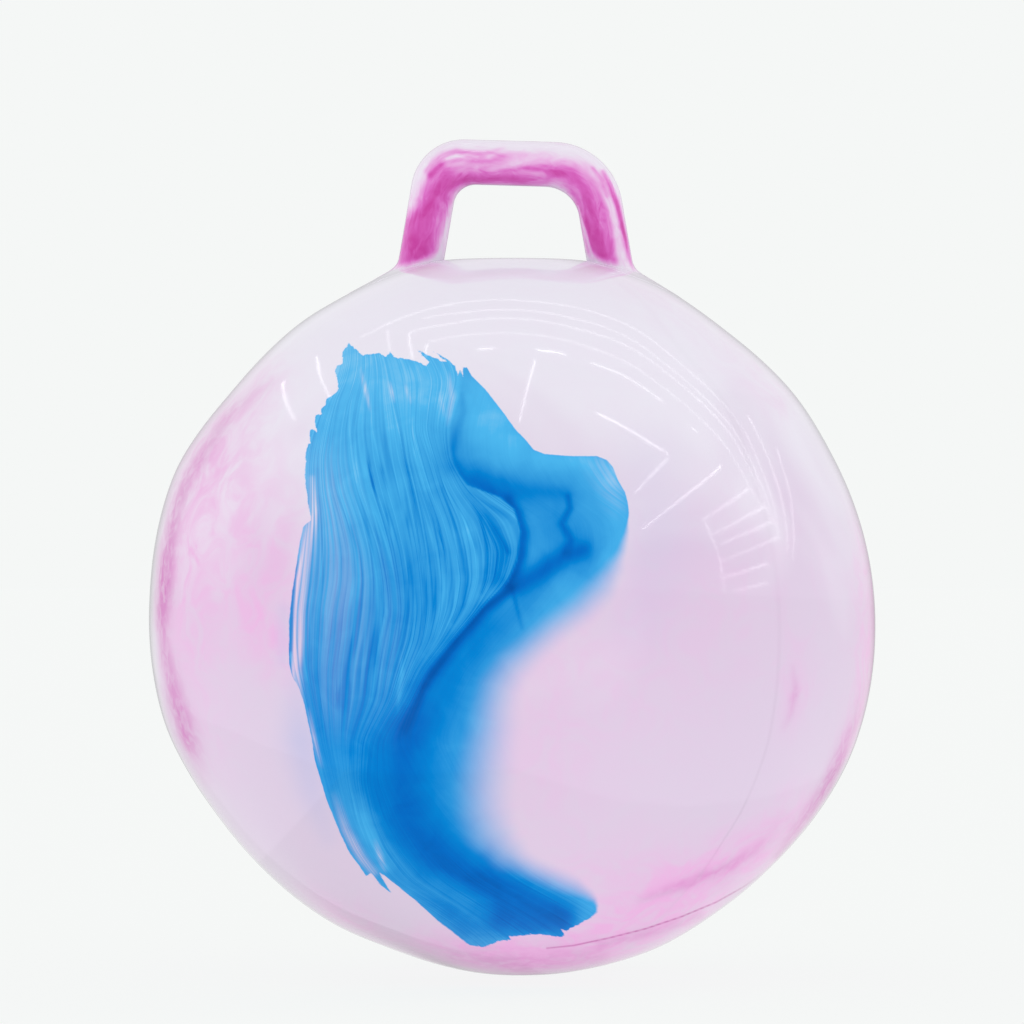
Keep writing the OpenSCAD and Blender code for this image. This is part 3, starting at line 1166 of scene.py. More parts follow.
@dataclass
class PartingLine:
    """The thin bead of flash where the halves of the mould met, in the plane of the bow."""

    bead_r: float = 0.4
    sunk: float = 0.15
    bead_sides: int = 8
    step_mm: float = 1.5
    step_deg: float = 0.6
    # Clock angles on the right: from the valve to the bow's foot, and from the foot to the base patch
    runs: tuple[Point, ...] = ((3.1, 10.6), (18.2, 171.8))

    def on_skin(self, skin: BallSkin, start: float, end: float) -> Array:
        """Points just under the skin, in the plane of the bow.

        Args:
            skin: Ball whose skin the line follows.
            start: Clock angle of the first point, in degrees from the top towards the right.
            end: Clock angle of the last point.

        Returns:
            Rows of x, y and z.
        """
        angles = np.radians(np.linspace(start, end, 2 + int(abs(end - start) / self.step_deg)))
        way = np.stack([np.sin(angles), np.zeros(len(angles)), np.cos(angles)], axis=1)
        return way * (skin.reach(way) - self.sunk)[:, None] + (0, 0, skin.centre_z)

    def recipe(self) -> Recipe:
        """Tree that runs a round bead along every line of a path."""
        recipe = Recipe("bead_on_path", Path="Object", Bead_Radius="Float", Bead_Sides="Int", Step="Float")
        put, source = recipe.put, recipe.source
        path = put("GeometryNodeObjectInfo", {0: source["Path"]}).outputs["Geometry"]
        even = put("GeometryNodeResampleCurve", {"Curve": path, "Length": source["Step"]}, mode="LENGTH")
        circle = {"Resolution": source["Bead Sides"], "Radius": source["Bead Radius"]}
        ring = put("GeometryNodeCurvePrimitiveCircle", circle)
        lines = {"Curve": even.outputs[0], "Profile Curve": ring.outputs[0], "Fill Caps": True}
        return recipe.end(put("GeometryNodeCurveToMesh", lines).outputs[0])

    def make(self, skin: BallSkin, bow: Bow, vinyl: bpy.types.Material) -> Piece:
        """Builds the bead round the ball, over the bow and under its grip.

        Args:
            skin: Ball whose skin the bead follows.
            bow: Bow whose outer and inner sides the bead follows.
            vinyl: Material of the bead.

        Returns:
            One mesh.
        """
        outer = bow.face(1, bow.outer_bends)
        inner = bow.face(-1, bow.inner_bends)
        runs = [(side * start, side * end) for side in (1, -1) for start, end in self.runs]
        lines = [self.on_skin(skin, start, end) for start, end in runs]
        for side in (outer, inner):
            inwards = (outer + inner) / 2 - side
            inwards /= np.linalg.norm(inwards, axis=1)[:, None]
            lines.append(np.insert(side + inwards * self.sunk, 1, 0.0, axis=1))
        path = rail("parting_path", lines)
        sizes = {"Bead_Radius": self.bead_r * MM, "Bead_Sides": self.bead_sides, "Step": self.step_mm * MM}
        made = self.recipe().cook("parting_line", vinyl, Path=path, **sizes)
        discard(path)
        made.data.shade_smooth()
        return made


@dataclass
class Valve:
    """The valve in the crown: a collar with a raised bead, and a ribbed push-in plug."""

    crown_z: float
    collar_r: float = 9.98
    recess_r: float = 7.3
    recess_h: float = 1.8
    bore_r: float = 3.25
    seat_h: float = 14.0
    flange_r: float = 17.0
    flange_t: float = 1.6
    skin_t: float = 1.2
    bead_h: float = 0.5
    head_r: float = 7.0
    thumb_r: float = 3.5
    thumb_h: float = 0.6
    shank_r: float = 2.6
    shank_h: float = 17.0
    rib_r: float = 0.6
    rib_count: int = 4
    ring_sides: int = 64
    rib_sides: int = 12
    # Share of the shank below the ribs
    tip_share: float = 0.25
    edge_r: float = 0.5

    @classmethod
    def from_frame(cls) -> "Valve":
        """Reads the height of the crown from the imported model."""
        return cls(crown_z=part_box("ball_shell")[1].z / MM)

    def seat(self, vinyl: bpy.types.Material) -> Piece:
        """Collar that fills the hole in the crown, with its flange inside the skin."""
        bead = (self.recess_r + self.collar_r) / 2
        outline = [
            (self.bore_r, -self.recess_h),
            (self.recess_r, -self.recess_h),
            (self.recess_r, 0),
            (bead - self.edge_r, self.bead_h),
            (bead + self.edge_r, self.bead_h),
            (self.collar_r, 0),
            (self.collar_r, -self.skin_t),
            (self.flange_r, -self.skin_t),
            (self.flange_r, -self.skin_t - self.flange_t),
            (self.collar_r, -self.skin_t - self.flange_t),
            (self.collar_r, -self.seat_h),
            (self.bore_r, -self.seat_h),
        ]
        made = lathe("valve_collar", rounded(outline, self.edge_r), self.crown_z)
        made.data.materials.append(vinyl)
        return made

    def plug(self, plastic: bpy.types.Material) -> Piece:
        """Head and core of the plug."""
        outline = [
            (0.0, -self.recess_h - self.shank_h),
            (self.shank_r, -self.recess_h - self.shank_h),
            (self.shank_r, -self.recess_h),
            (self.head_r, -self.recess_h),
            (self.head_r, 0.0),
            (self.thumb_r, 0.0),
            (self.thumb_r - self.thumb_h, -self.thumb_h),
            (0.0, -self.thumb_h),
        ]
        made = lathe("plug_body", rounded(outline, self.edge_r), self.crown_z)
        made.data.materials.append(plastic)
        return made

    def rib_recipe(self) -> Recipe:
        """Tree that sets equal rings along a shank."""
        sizes = {"Shank_Radius": "Float", "Rib_Radius": "Float"}
        recipe = Recipe("rings_on_shank", Count="Int", Pitch="Vector", Lowest="Vector", **sizes)
        put, source = recipe.put, recipe.source
        line = {"Count": source["Count"], "Start Location": source["Lowest"], "Offset": source["Pitch"]}
        spots = put("GeometryNodeMeshLine", line)
        circle = "GeometryNodeCurvePrimitiveCircle"
        path = put(circle, {"Resolution": self.ring_sides, "Radius": source["Shank Radius"]})
        profile = put(circle, {"Resolution": self.rib_sides, "Radius": source["Rib Radius"]})
        lines = {"Curve": path.outputs[0], "Profile Curve": profile.outputs[0]}
        rib = put("GeometryNodeCurveToMesh", lines).outputs[0]
        ribs = put("GeometryNodeInstanceOnPoints", {"Points": spots.outputs[0], "Instance": rib})
        return recipe.end(ribs.outputs[0])

    def ribs(self, plastic: bpy.types.Material) -> Piece:
        """Ribs round the plug's shank, which grip the bore."""
        pitch = self.shank_h * (1 - self.tip_share) / self.rib_count
        lowest = self.crown_z - self.recess_h - pitch * (self.rib_count - 0.5)
        places = {"Pitch": (0.0, 0.0, pitch * MM), "Lowest": (0.0, 0.0, lowest * MM)}
        sizes = {"Count": self.rib_count, "Shank_Radius": self.shank_r * MM, "Rib_Radius": self.rib_r * MM}
        made = self.rib_recipe().cook("plug_ribs", plastic, **places, **sizes)
        face_outwards(made)
        return made


# The blue's outline, clockwise from its top left corner
OUTLINE = (
    # Top edge, with the ends of the strands
    EdgeStretch(((349, 343), (356, 350), (363, 355), (371, 354), (379, 353), (386, 357), (390, 352),
        (394, 357), (407, 359), (417, 361), (426, 366), (430, 362), (423, 356), (417.5, 349.5), (424, 353),
        (433, 357.5), (443, 361.5), (447, 361.5), (440, 356.5), (433, 351.5), (440, 354.5), (450, 361.5),
        (455, 366), (458, 376), (460, 370), (463, 377), (463, 367)), 1.2, 2.4, 3.2),
    # Crisp edge of the head
    EdgeStretch(((467, 367.5), (472, 376), (478, 382), (486, 390), (503, 412), (516, 430), (524, 438),
        (534, 450), (545, 454), (570, 456), (597, 456), (607, 460), (613, 467), (618, 480), (625, 492),
        (628, 503), (629, 513), (628, 521)), 1.2, 1.0),
    # Where that edge starts to fade
    EdgeStretch(((627, 532), (622, 551)), 14.0, 1.0),
    # Soft edges of the shoulder, the back and the foot
    EdgeStretch(((613, 570), (602, 588), (582, 608), (553, 629), (534, 646)), 42.0, 1.0),
    EdgeStretch(((512, 667), (500, 688), (495, 709)), 58.0, 1.0),
    EdgeStretch(((493, 730), (489, 750), (486, 770), (484, 790), (485, 810), (492, 831)), 72.0, 1.0),
    # The lobe at the bottom, and its end
    EdgeStretch(((506, 850), (520, 861), (534, 869), (557, 879), (576, 887)), 30.0, 1.0),
    EdgeStretch(((588, 894), (595, 900), (597.5, 906)), 5.0, 1.0),
    # Bottom edge, with short strands
    EdgeStretch(((597, 912), (591, 918), (581, 923), (573, 927), (567, 931), (561, 929), (565, 936),
        (556, 937), (549, 935), (530, 934), (518, 936), (509, 936), (511, 940), (499, 941), (494, 943),
        (484, 947), (469, 945)), 1.2, 3.0, 2.5),
    # Left edge, along the drag
    EdgeStretch(((465, 942), (454, 933), (438, 921), (417, 902), (399, 887), (388, 878), (379, 872),
        (384, 881), (391, 893), (380, 884), (371, 873), (366, 876), (358, 864), (349, 852), (340, 833),
        (326.5, 800), (314.5, 760), (311, 735), (304, 703), (300, 690), (295, 681), (291.5, 675),
        (289, 664), (289, 620), (292, 591), (297, 559), (300, 540), (303, 527)), 1.2, 2.4, 1.2),
    # Ragged edge at the upper left, across the strands
    EdgeStretch(((311, 520), (309, 508), (306, 490), (305, 479), (306, 455), (308, 444), (310, 443),
        (310, 430), (313, 429), (317, 433), (315, 421), (316, 415), (322, 414), (321, 409), (325, 405),
        (327, 399), (331, 397), (338, 391), (338, 383), (335, 370), (337, 366), (343, 363), (342, 352)),
        1.2, 1.0, 3.5),
)

# The dark line where the brushed side folds over the pool
CREASE_LINE = (
    (510, 589), (483, 610), (466, 630), (450, 650), (435, 670), (421, 690), (416, 705), (405, 728),
)

# Pink veils of the front
VEIL = Pigment((
    Stroke(((245, 470), (258, 560), (268, 640)), (44, 52, 40), (0.36, 0.58, 0.36)),
    Stroke(((235, 590), (262, 625), (280, 660)), (14, 22, 18), (0.2, 0.5, 0.3)),
    Stroke(((205, 470), (190, 560), (190, 660), (215, 760)), (30, 36, 32), (0.5, 0.72, 0.45, 0.12)),
    Stroke(((270, 375), (225, 425), (195, 475)), (22, 24, 20), (0.3, 0.5, 0.38)),
    Stroke(((425, 946), (515, 957), (600, 946), (690, 912), (760, 862)), (18, 24, 26, 26, 20),
        (0.55, 1.0, 0.95, 0.85, 0.5)),
    Stroke(((610, 930), (660, 893), (705, 872), (760, 845), (800, 805)), (26, 30, 26, 22),
        (0.6, 0.9, 0.75, 0.4)),
    Stroke(((560, 900), (610, 880), (650, 850)), (40, 50, 40), (0.3, 0.3, 0.1)),
    Stroke(((795, 640), (797, 690), (788, 730)), (16, 14), (0.1, 0.4, 0.1)),
    Stroke(((735, 893), (783, 845), (818, 803)), (10, 11, 9), (0.25, 0.45, 0.25)),
    Stroke(((300, 890), (340, 922), (400, 950)), (14, 20, 14), (0.15, 0.6, 0.4)),
    Stroke(((840, 445), (858, 500), (866, 540), (871, 620), (866, 700), (845, 760), (822, 800)),
        (9, 10, 12, 14, 13, 12, 10), (0.0, 0.45, 0.65, 0.75, 0.75, 0.6, 0.0)),
    Stroke(((540, 760), (560, 690), (640, 640), (720, 600)), (70, 90, 90), (0.27, 0.25, 0.18)),
    Stroke(((620, 268), (700, 310), (780, 400)), (22, 26, 18), (0.15, 0.1, 0.2)),
), ground=0.04)

# Magenta streaks of the front
STREAK = Pigment((
    Stroke(((270, 382), (230, 413), (207, 447), (188, 478), (175, 510), (166, 560), (161, 612), (165, 656),
        (173, 694), (186, 742)), (7, 8, 9, 6, 5), (0.1, 0.35, 0.5, 0.6, 0.85, 0.55, 0.35, 0.2)),
    Stroke(((168, 560), (164, 590), (162, 625)), (9, 10, 8), (0.2, 0.6, 0.3)),
    Stroke(((779, 857), (828, 785), (858, 715), (866, 672)), (6, 7, 7, 5), (0.35, 0.5, 0.6, 0.33, 0.0)),
    Stroke(((810, 815), (830, 782), (845, 752)), (4, 5, 3), (0.2, 0.6, 0.3)),
    Stroke(((640, 900), (690, 882), (730, 866), (765, 842)), (5, 6, 4), (0.15, 0.4, 0.35, 0.1)),
    Stroke(((793, 668), (796, 690), (791, 712), (784, 728)), (3, 4, 3), (0.1, 0.3, 0.1)),
    Stroke(((455, 958), (530, 966), (600, 957)), (9, 11, 9), (0.2, 0.32, 0.2)),
    Stroke(((440, 950), (515, 962), (590, 952)), (16, 18, 16), (0.12, 0.2, 0.12)),
    Stroke(((172, 690), (186, 738), (205, 780)), (11, 12, 8), (0.2, 0.35, 0.1)),
    Stroke(((722, 880), (755, 852), (785, 820)), (12, 12, 10), (0.1, 0.15, 0.1)),
    Stroke(((168, 655), (176, 698), (188, 733), (195, 752)), (8, 9, 8), (0.25, 0.4, 0.5, 0.2)),
    Stroke(((183, 732), (190, 750)), (3.5, 3), (0.4, 0.3)),
    Stroke(((600, 945), (660, 930), (700, 916)), (5, 5), (0.3, 0.25)),
    Stroke(((866, 530), (873, 585), (875, 640), (870, 700), (858, 745)), (5, 5, 4),
        (0.0, 0.25, 0.4, 0.35, 0.0)),
))
# Painted reflection: a pale band along the left limb
RIM_REFLECTION = Pigment((
    Stroke(((168, 480), (153, 550), (148, 620), (153, 690), (170, 745)), (4, 5, 6, 6, 4),
        (0.0, 0.6, 0.75, 0.8, 0.8, 0.6, 0.0)),
))
# Blue that bled into the milk
WASH = Pigment((
    Stroke(((296, 690), (301, 735), (312, 790), (328, 835)), (16, 20, 18, 12), (0.1, 0.3, 0.22, 0.1)),
    Stroke(((284, 610), (283, 660)), (8, 8), (0.12, 0.12)),
    Stroke(((648, 470), (658, 540), (640, 620)), (34, 42, 34), (0.05, 0.08, 0.06)),
))
# Pink veils of the back
BACK_VEIL = Pigment((
    Stroke(((200, 480), (300, 560), (380, 680), (520, 760)), (60, 70, 60), (0.5, 0.7, 0.4)),
    Stroke(((640, 400), (720, 520), (740, 660)), (50, 60, 50), (0.4, 0.6, 0.3)),
    Stroke(((430, 958), (520, 968), (620, 945)), (30, 34, 30), (0.5, 0.8, 0.5)),
    Stroke(((868, 520), (872, 620), (866, 700)), (16, 20, 16), (0.35, 0.55, 0.6)),
    Stroke(((330, 350), (420, 420), (540, 440)), (36, 40, 30), (0.3, 0.45, 0.2)),
), ground=0.1)

# Magenta streaks of the back
BACK_STREAK = Pigment((
    Stroke(((230, 450), (300, 520), (370, 560), (430, 640), (450, 730)), (7, 10, 12, 8),
        (0.2, 0.7, 0.6, 0.2)),
    Stroke(((300, 700), (380, 780), (500, 830), (620, 820)), (6, 9, 7), (0.2, 0.55, 0.2)),
    Stroke(((640, 380), (700, 460), (722, 560), (700, 660)), (8, 11, 8), (0.15, 0.65, 0.2)),
    Stroke(((161, 612), (190, 700), (260, 800)), (10, 12, 8), (0.5, 0.3, 0.1)),
))
# Depth of the blue right of its crease
POOLED = Pigment((
    # The tail: dark crease, its shade, and the deep pool below it
    Stroke(CREASE_LINE, (5, 7, 7, 7, 7), (0.88, 0.9, 0.93, 0.93, 0.6)),
    Stroke(((535, 592), (505, 615), (478, 640), (455, 667), (440, 692), (430, 712), (412, 735)),
        (20, 24, 25, 24), (0.22, 0.36, 0.42, 0.36)),
    Stroke(((408, 728), (401, 755), (400, 790), (410, 828), (430, 853), (462, 875), (500, 889), (535, 901),
        (565, 914)), (27, 31, 32, 30, 26, 20, 15), (0.52, 0.67, 0.69, 0.76, 0.78, 0.68, 0.5)),
    Stroke(((455, 700), (440, 750), (438, 800), (452, 842), (490, 868)), (30, 32, 26),
        (0.1, 0.2, 0.15, 0.05)),
    Stroke(((440, 895), (490, 912), (560, 915)), (18, 20, 13), (0.48, 0.52, 0.42)),
    Stroke(((500, 922), (530, 928), (560, 928)), (14, 12), (0.4, 0.45)),
    # The neck and the folds of the head
    Stroke(((462, 395), (464, 412), (456, 435), (452, 455), (462, 477), (485, 490), (508, 499)),
        (3, 5, 7, 8), (0.2, 0.37, 0.45, 0.54)),
    Stroke(((455, 440), (468, 468), (500, 482)), (18, 18), (0.2, 0.25)),
    Stroke(((508, 499), (518, 514), (523, 533), (521, 555), (515, 572), (508, 586)), (5, 7, 7),
        (0.6, 0.75, 0.8)),
    Stroke(((480, 478), (520, 490), (566, 493)), (10, 12, 9), (0.25, 0.36, 0.28)),
    Stroke(((528, 505), (552, 520), (572, 540)), (30, 34, 26), (0.18, 0.25, 0.3)),
    Stroke(((568, 496), (570, 508), (562, 524), (571, 540), (566, 552)), (3, 4, 5), (0.45, 0.5, 0.5)),
    Stroke(((584, 550), (566, 556), (543, 571), (518, 585)), (9, 12, 10), (0.6, 0.66, 0.62)),
    Stroke(((512, 588), (517, 608), (522, 628)), (2.2, 2.2), (0.4, 0.15)),
    Stroke(((604, 545), (592, 560), (575, 577)), (12, 14), (0.14, 0.2, 0.12)),
    Stroke(((466, 470), (480, 480), (496, 492)), (12, 12), (0.08, 0.1, 0.06)),
    # Where the blue thins out
    Stroke(((482, 392), (492, 425), (507, 440)), (24, 34, 26), (0.4, 0.55, 0.5), Blend.CLEAR),
    Stroke(((540, 458), (580, 460), (608, 475)), (10, 13, 15), (0.4, 0.5, 0.5), Blend.CLEAR),
    Stroke(((612, 480), (620, 505), (619, 530), (608, 552)), (12, 13, 13), (0.3, 0.3, 0.2), Blend.CLEAR),
    Stroke(((610, 562), (590, 588), (562, 615), (535, 645)), (22, 24), (0.1, 0.15, 0.05), Blend.CLEAR),
), ground=0.37)

# Depth of the blue left of its crease
BRUSHED = Pigment((
    # The strands deepen downwards and towards the crease
    Stroke(((420, 520), (400, 590), (365, 650), (350, 720), (352, 780), (385, 850)), (60, 75, 75, 60, 50),
        (0.1, 0.26, 0.33, 0.37, 0.28, 0.2)),
    Stroke(((474, 500), (492, 528), (502, 552), (499, 578)), (15, 17, 14), (0.15, 0.34, 0.45, 0.45)),
    Stroke(CREASE_LINE, (7, 9, 11, 13, 12), (0.4, 0.5, 0.55, 0.6, 0.5)),
    Stroke(((400, 735), (390, 760), (390, 790), (400, 828), (428, 862)), (24, 29, 26, 20),
        (0.5, 0.6, 0.5, 0.45)),
    Stroke(((405, 884), (440, 905), (470, 928), (500, 938)), (16, 18), (0.1, 0.48, 0.58)),
    Stroke(((430, 415), (445, 440), (452, 465)), (10, 14), (0.12, 0.3)),
    Stroke(((430, 872), (452, 887), (476, 900)), (11, 12), (0.12, 0.24, 0.2)),
    Stroke(((350, 432), (380, 448), (415, 462)), (18, 20), (0.05, 0.08)),
    # Dark strands
    Stroke(((368, 446), (370, 470), (374, 488), (380, 502)), (1.5, 2, 1.4), (0.0, 0.4, 0.45, 0.0)),
    Stroke(((400, 425), (402, 450), (408, 475), (413, 500), (416, 520), (420, 545), (422, 560), (424, 580),
        (426, 600), (424, 620), (420, 645), (415, 660)), (1.5, 1.8, 1.6, 2.0, 1.8),
        (0.0, 0.3, 0.25, 0.3, 0.3, 0.1)),
    Stroke(((425, 440), (436, 468), (443, 490), (450, 510), (458, 535), (463, 560), (466, 580), (463, 605),
        (453, 622)), (1.6, 2.2, 2.8, 2.2), (0.0, 0.35, 0.35, 0.3, 0.2)),
    Stroke(((411, 445), (420, 478), (430, 505), (438, 525), (444, 550), (448, 577), (447, 600), (441, 620)),
        (1.5, 1.8), (0.0, 0.3, 0.25, 0.0)),
    Stroke(((364, 495), (372, 522), (382, 548), (388, 585), (390, 615), (385, 640), (381, 662)),
        (1.6, 2.2, 1.6), (0.0, 0.25, 0.3, 0.25, 0.0)),
    Stroke(((486, 515), (498, 535), (508, 552)), (2.6, 2.6), (0.1, 0.35, 0.3)),
    Stroke(((468, 496), (480, 517), (486, 545), (487, 565), (482, 592)), (2.2, 2.6), (0.0, 0.35, 0.3, 0.2)),
    Stroke(((378, 448), (383, 475), (389, 496)), (1.4, 1.6), (0.0, 0.35, 0.0)),
    Stroke(((330, 490), (337, 530), (342, 560), (340, 600)), (1.4, 1.8), (0.0, 0.2, 0.25, 0.0)),
    # Darker lines along the left edge
    Stroke(((318, 470), (321, 505), (320, 540), (315, 580), (311, 620), (312, 660), (316, 705), (325, 745),
        (334, 785)), (3, 4, 4, 5, 5, 5), (0.1, 0.14, 0.16, 0.2, 0.1)),
    Stroke(((296, 562), (292, 600), (291, 650)), (2.4, 2.8), (0.5, 0.5)),
    # Light strands and the thin top
    Stroke(((340, 362), (395, 380), (445, 392)), (40, 42), (0.5, 0.45), Blend.CLEAR),
    Stroke(((400, 410), (405, 450), (400, 490)), (34, 34), (0.15, 0.15, 0.05), Blend.CLEAR),
    Stroke(((328, 420), (335, 470), (330, 540)), (28, 24), (0.18, 0.04), Blend.CLEAR),
    Stroke(((351, 405), (354, 450), (357, 480), (365, 502), (372, 524), (379, 552)), (1.5, 1.8, 1.4),
        (0.0, 0.3, 0.35, 0.0), Blend.CLEAR),
    Stroke(((408, 428), (415, 455), (423, 480), (429, 505)), (1.6, 2.2, 1.6), (0.0, 0.4, 0.35, 0.0),
        Blend.CLEAR),
    Stroke(((441, 552), (444, 590), (440, 612), (434, 640)), (1.8, 2.4, 1.6), (0.0, 0.4, 0.4, 0.0),
        Blend.CLEAR),
    Stroke(((384, 582), (386, 612), (381, 636), (376, 662)), (1.5, 1.8, 1.4), (0.0, 0.3, 0.3, 0.0),
        Blend.CLEAR),
    Stroke(((401, 648), (402, 675), (399, 695), (397, 718)), (2, 2.4, 1.8), (0.0, 0.3, 0.3, 0.0),
        Blend.CLEAR),
    Stroke(((470, 512), (478, 545), (479, 590)), (1.8, 2.2), (0.0, 0.2, 0.0), Blend.CLEAR),
    Stroke(((452, 490), (464, 520), (472, 552)), (2.2, 2.2), (0.0, 0.25, 0.0), Blend.CLEAR),
    Stroke(((356, 800), (366, 828), (376, 848), (386, 868)), (6, 7, 5), (0.0, 0.3, 0.4, 0.2), Blend.CLEAR),
    Stroke(((342, 765), (350, 795), (368, 832), (385, 862)), (13, 15, 12), (0.08, 0.2, 0.2, 0.1),
        Blend.CLEAR),
), ground=0.32)

# Gaps between the strands, where the milk shows
PARTED = Pigment((
    # Thin blue on the left, over the milk
    Stroke(((322, 430), (322, 480), (325, 530), (330, 580), (328, 640), (330, 700), (340, 750)),
        (22, 26, 28, 28, 28, 24, 16), (0.0, 0.1, 0.11, 0.1, 0.06, 0.05, 0.0)),
    Stroke(((365, 580), (372, 640), (375, 700)), (32, 34), (0.03, 0.045, 0.02)),
    # Gaps along the left edge
    Stroke(((312, 478), (314, 512), (309, 540), (304, 575), (301, 610), (300, 640), (297, 668), (300, 700)),
        (2.6, 4.6, 4.4, 4.2, 3.4), (0.3, 0.8, 0.78, 0.7, 0.72, 0.2)),
    Stroke(((308, 520), (303, 552), (298, 580), (296, 610), (295, 640), (293, 678)), (1.4, 1.5, 1.6),
        (0.0, 0.6, 0.65, 0.8, 0.4)),
    Stroke(((360, 366), (365, 388), (371, 414)), (1.4, 2.2, 1.2), (0.0, 0.42, 0.0)),
    Stroke(((389, 380), (394, 404)), (1.8, 1.8), (0.0, 0.4, 0.0)),
    Stroke(((404, 380), (411, 405)), (1.6, 1.6), (0.0, 0.35, 0.0)),
    Stroke(((449, 370), (452, 398), (447, 428)), (2.0, 2.6, 1.8), (0.0, 0.3, 0.25, 0.0)),
    Stroke(((439, 390), (445, 418)), (1.8, 1.8), (0.0, 0.22, 0.0)),
    Stroke(((308, 706), (314, 738), (322, 770)), (1.6, 2), (0.0, 0.5, 0.0)),
    Stroke(((602, 466), (613, 486), (618, 503)), (12, 11), (0.12, 0.17, 0.06)),
    # The wisps at the bottom left
    Stroke(((333, 790), (346, 830), (362, 858), (374, 872)), (3.4, 4.4, 4), (0.0, 0.3, 0.5, 0.3)),
    Stroke(((374, 838), (386, 874)), (2.5, 2.5), (0.0, 0.35, 0.0)),
))

# Pink pigment in the bow
BOW_PIGMENT = Pigment((
    # Left leg and bend
    Stroke(((419, 262), (420, 240), (424, 218), (432, 200), (445, 184)), (23, 22, 19, 16, 14),
        (0.98, 1.0, 0.98, 0.92, 0.85)),
    Stroke(((404, 262), (406, 240), (409, 222)), (6, 6), (0.7, 0.5)),
    Stroke(((440, 232), (443, 215), (447, 200)), (5, 5), (0.25, 0.45)),
    Stroke(((428, 190), (432, 176), (441, 166)), (5, 5, 4), (0.45, 0.6, 0.5)),
    # Grip: the band along its underside and the arcs above it
    Stroke(((447, 182), (470, 179), (500, 178), (530, 181), (545, 181)), (9, 9, 8, 7),
        (0.8, 0.9, 0.85, 0.5)),
    Stroke(((505, 172), (522, 168), (545, 169), (562, 173)), (3, 3, 5), (0.3, 0.6, 0.6)),
    Stroke(((427, 170), (433, 161), (443, 154), (456, 151), (472, 154), (484, 154), (496, 150), (504, 147)),
        (4, 4.4, 4, 3), (0.5, 0.7, 0.7, 0.45, 0.3)),
    Stroke(((430, 175), (438, 166), (448, 162), (462, 160), (478, 161), (490, 161), (498, 157), (508, 154),
        (527, 154)), (3.4, 3.4, 3), (0.6, 0.5, 0.12)),
    Stroke(((447, 170), (480, 167), (500, 164)), (7, 7, 6), (0.45, 0.35, 0.2)),
    Stroke(((500, 160), (530, 159), (565, 163), (585, 170)), (9, 9, 7), (0.25, 0.16, 0.12)),
    Stroke(((520, 176), (548, 172), (572, 178)), (10, 11, 10), (0.35, 0.45, 0.5)),
    # Right bend and leg
    Stroke(((555, 173), (572, 174), (583, 187), (591, 210), (597, 235), (603, 261)), (8, 10, 11, 12, 12),
        (0.5, 0.78, 0.88, 0.92, 1.0)),
    Stroke(((568, 185), (578, 203), (584, 222), (592, 248)), (5, 5, 5), (0.4, 0.75, 0.8)),
    Stroke(((592, 182), (600, 198), (606, 215), (611, 240), (612, 262)), (7, 7, 7), (0.35, 0.55, 0.6, 0.6)),
    Stroke(((593, 168), (602, 181), (607, 196)), (2.4, 2.4), (0.4, 0.4)),
    Stroke(((603, 172), (610, 186), (618, 208), (624, 233), (629, 256), (634, 270)), (3, 3.2, 3.2),
        (0.5, 0.9, 0.95, 0.85, 0.25)),
    # Clear skin
    Stroke(((447, 159), (455, 156), (467, 154.5), (478, 157)), (1.4, 1.6, 1.4), (0.4, 0.5, 0.3),
        Blend.CLEAR),
    Stroke(((440, 256), (444, 240), (448, 218)), (3.4, 3, 1.6), (0.8, 0.75, 0.3), Blend.CLEAR),
    Stroke(((411, 204), (410, 186), (418, 166), (434, 152), (456, 144), (520, 143), (568, 147), (598, 160)),
        (6, 8, 8, 5, 5), (0.45, 0.62, 0.38, 0.6, 0.55, 0.75), Blend.CLEAR),
    Stroke(((603, 190), (611, 213), (616, 237), (620, 262)), (2.2, 2.4, 2.8), (0.15, 0.25, 0.35),
        Blend.CLEAR),
    Stroke(((578, 206), (583, 225), (592, 256)), (1, 1.8, 1.8), (0.3, 0.6, 0.6), Blend.CLEAR),
), ground=0.14)


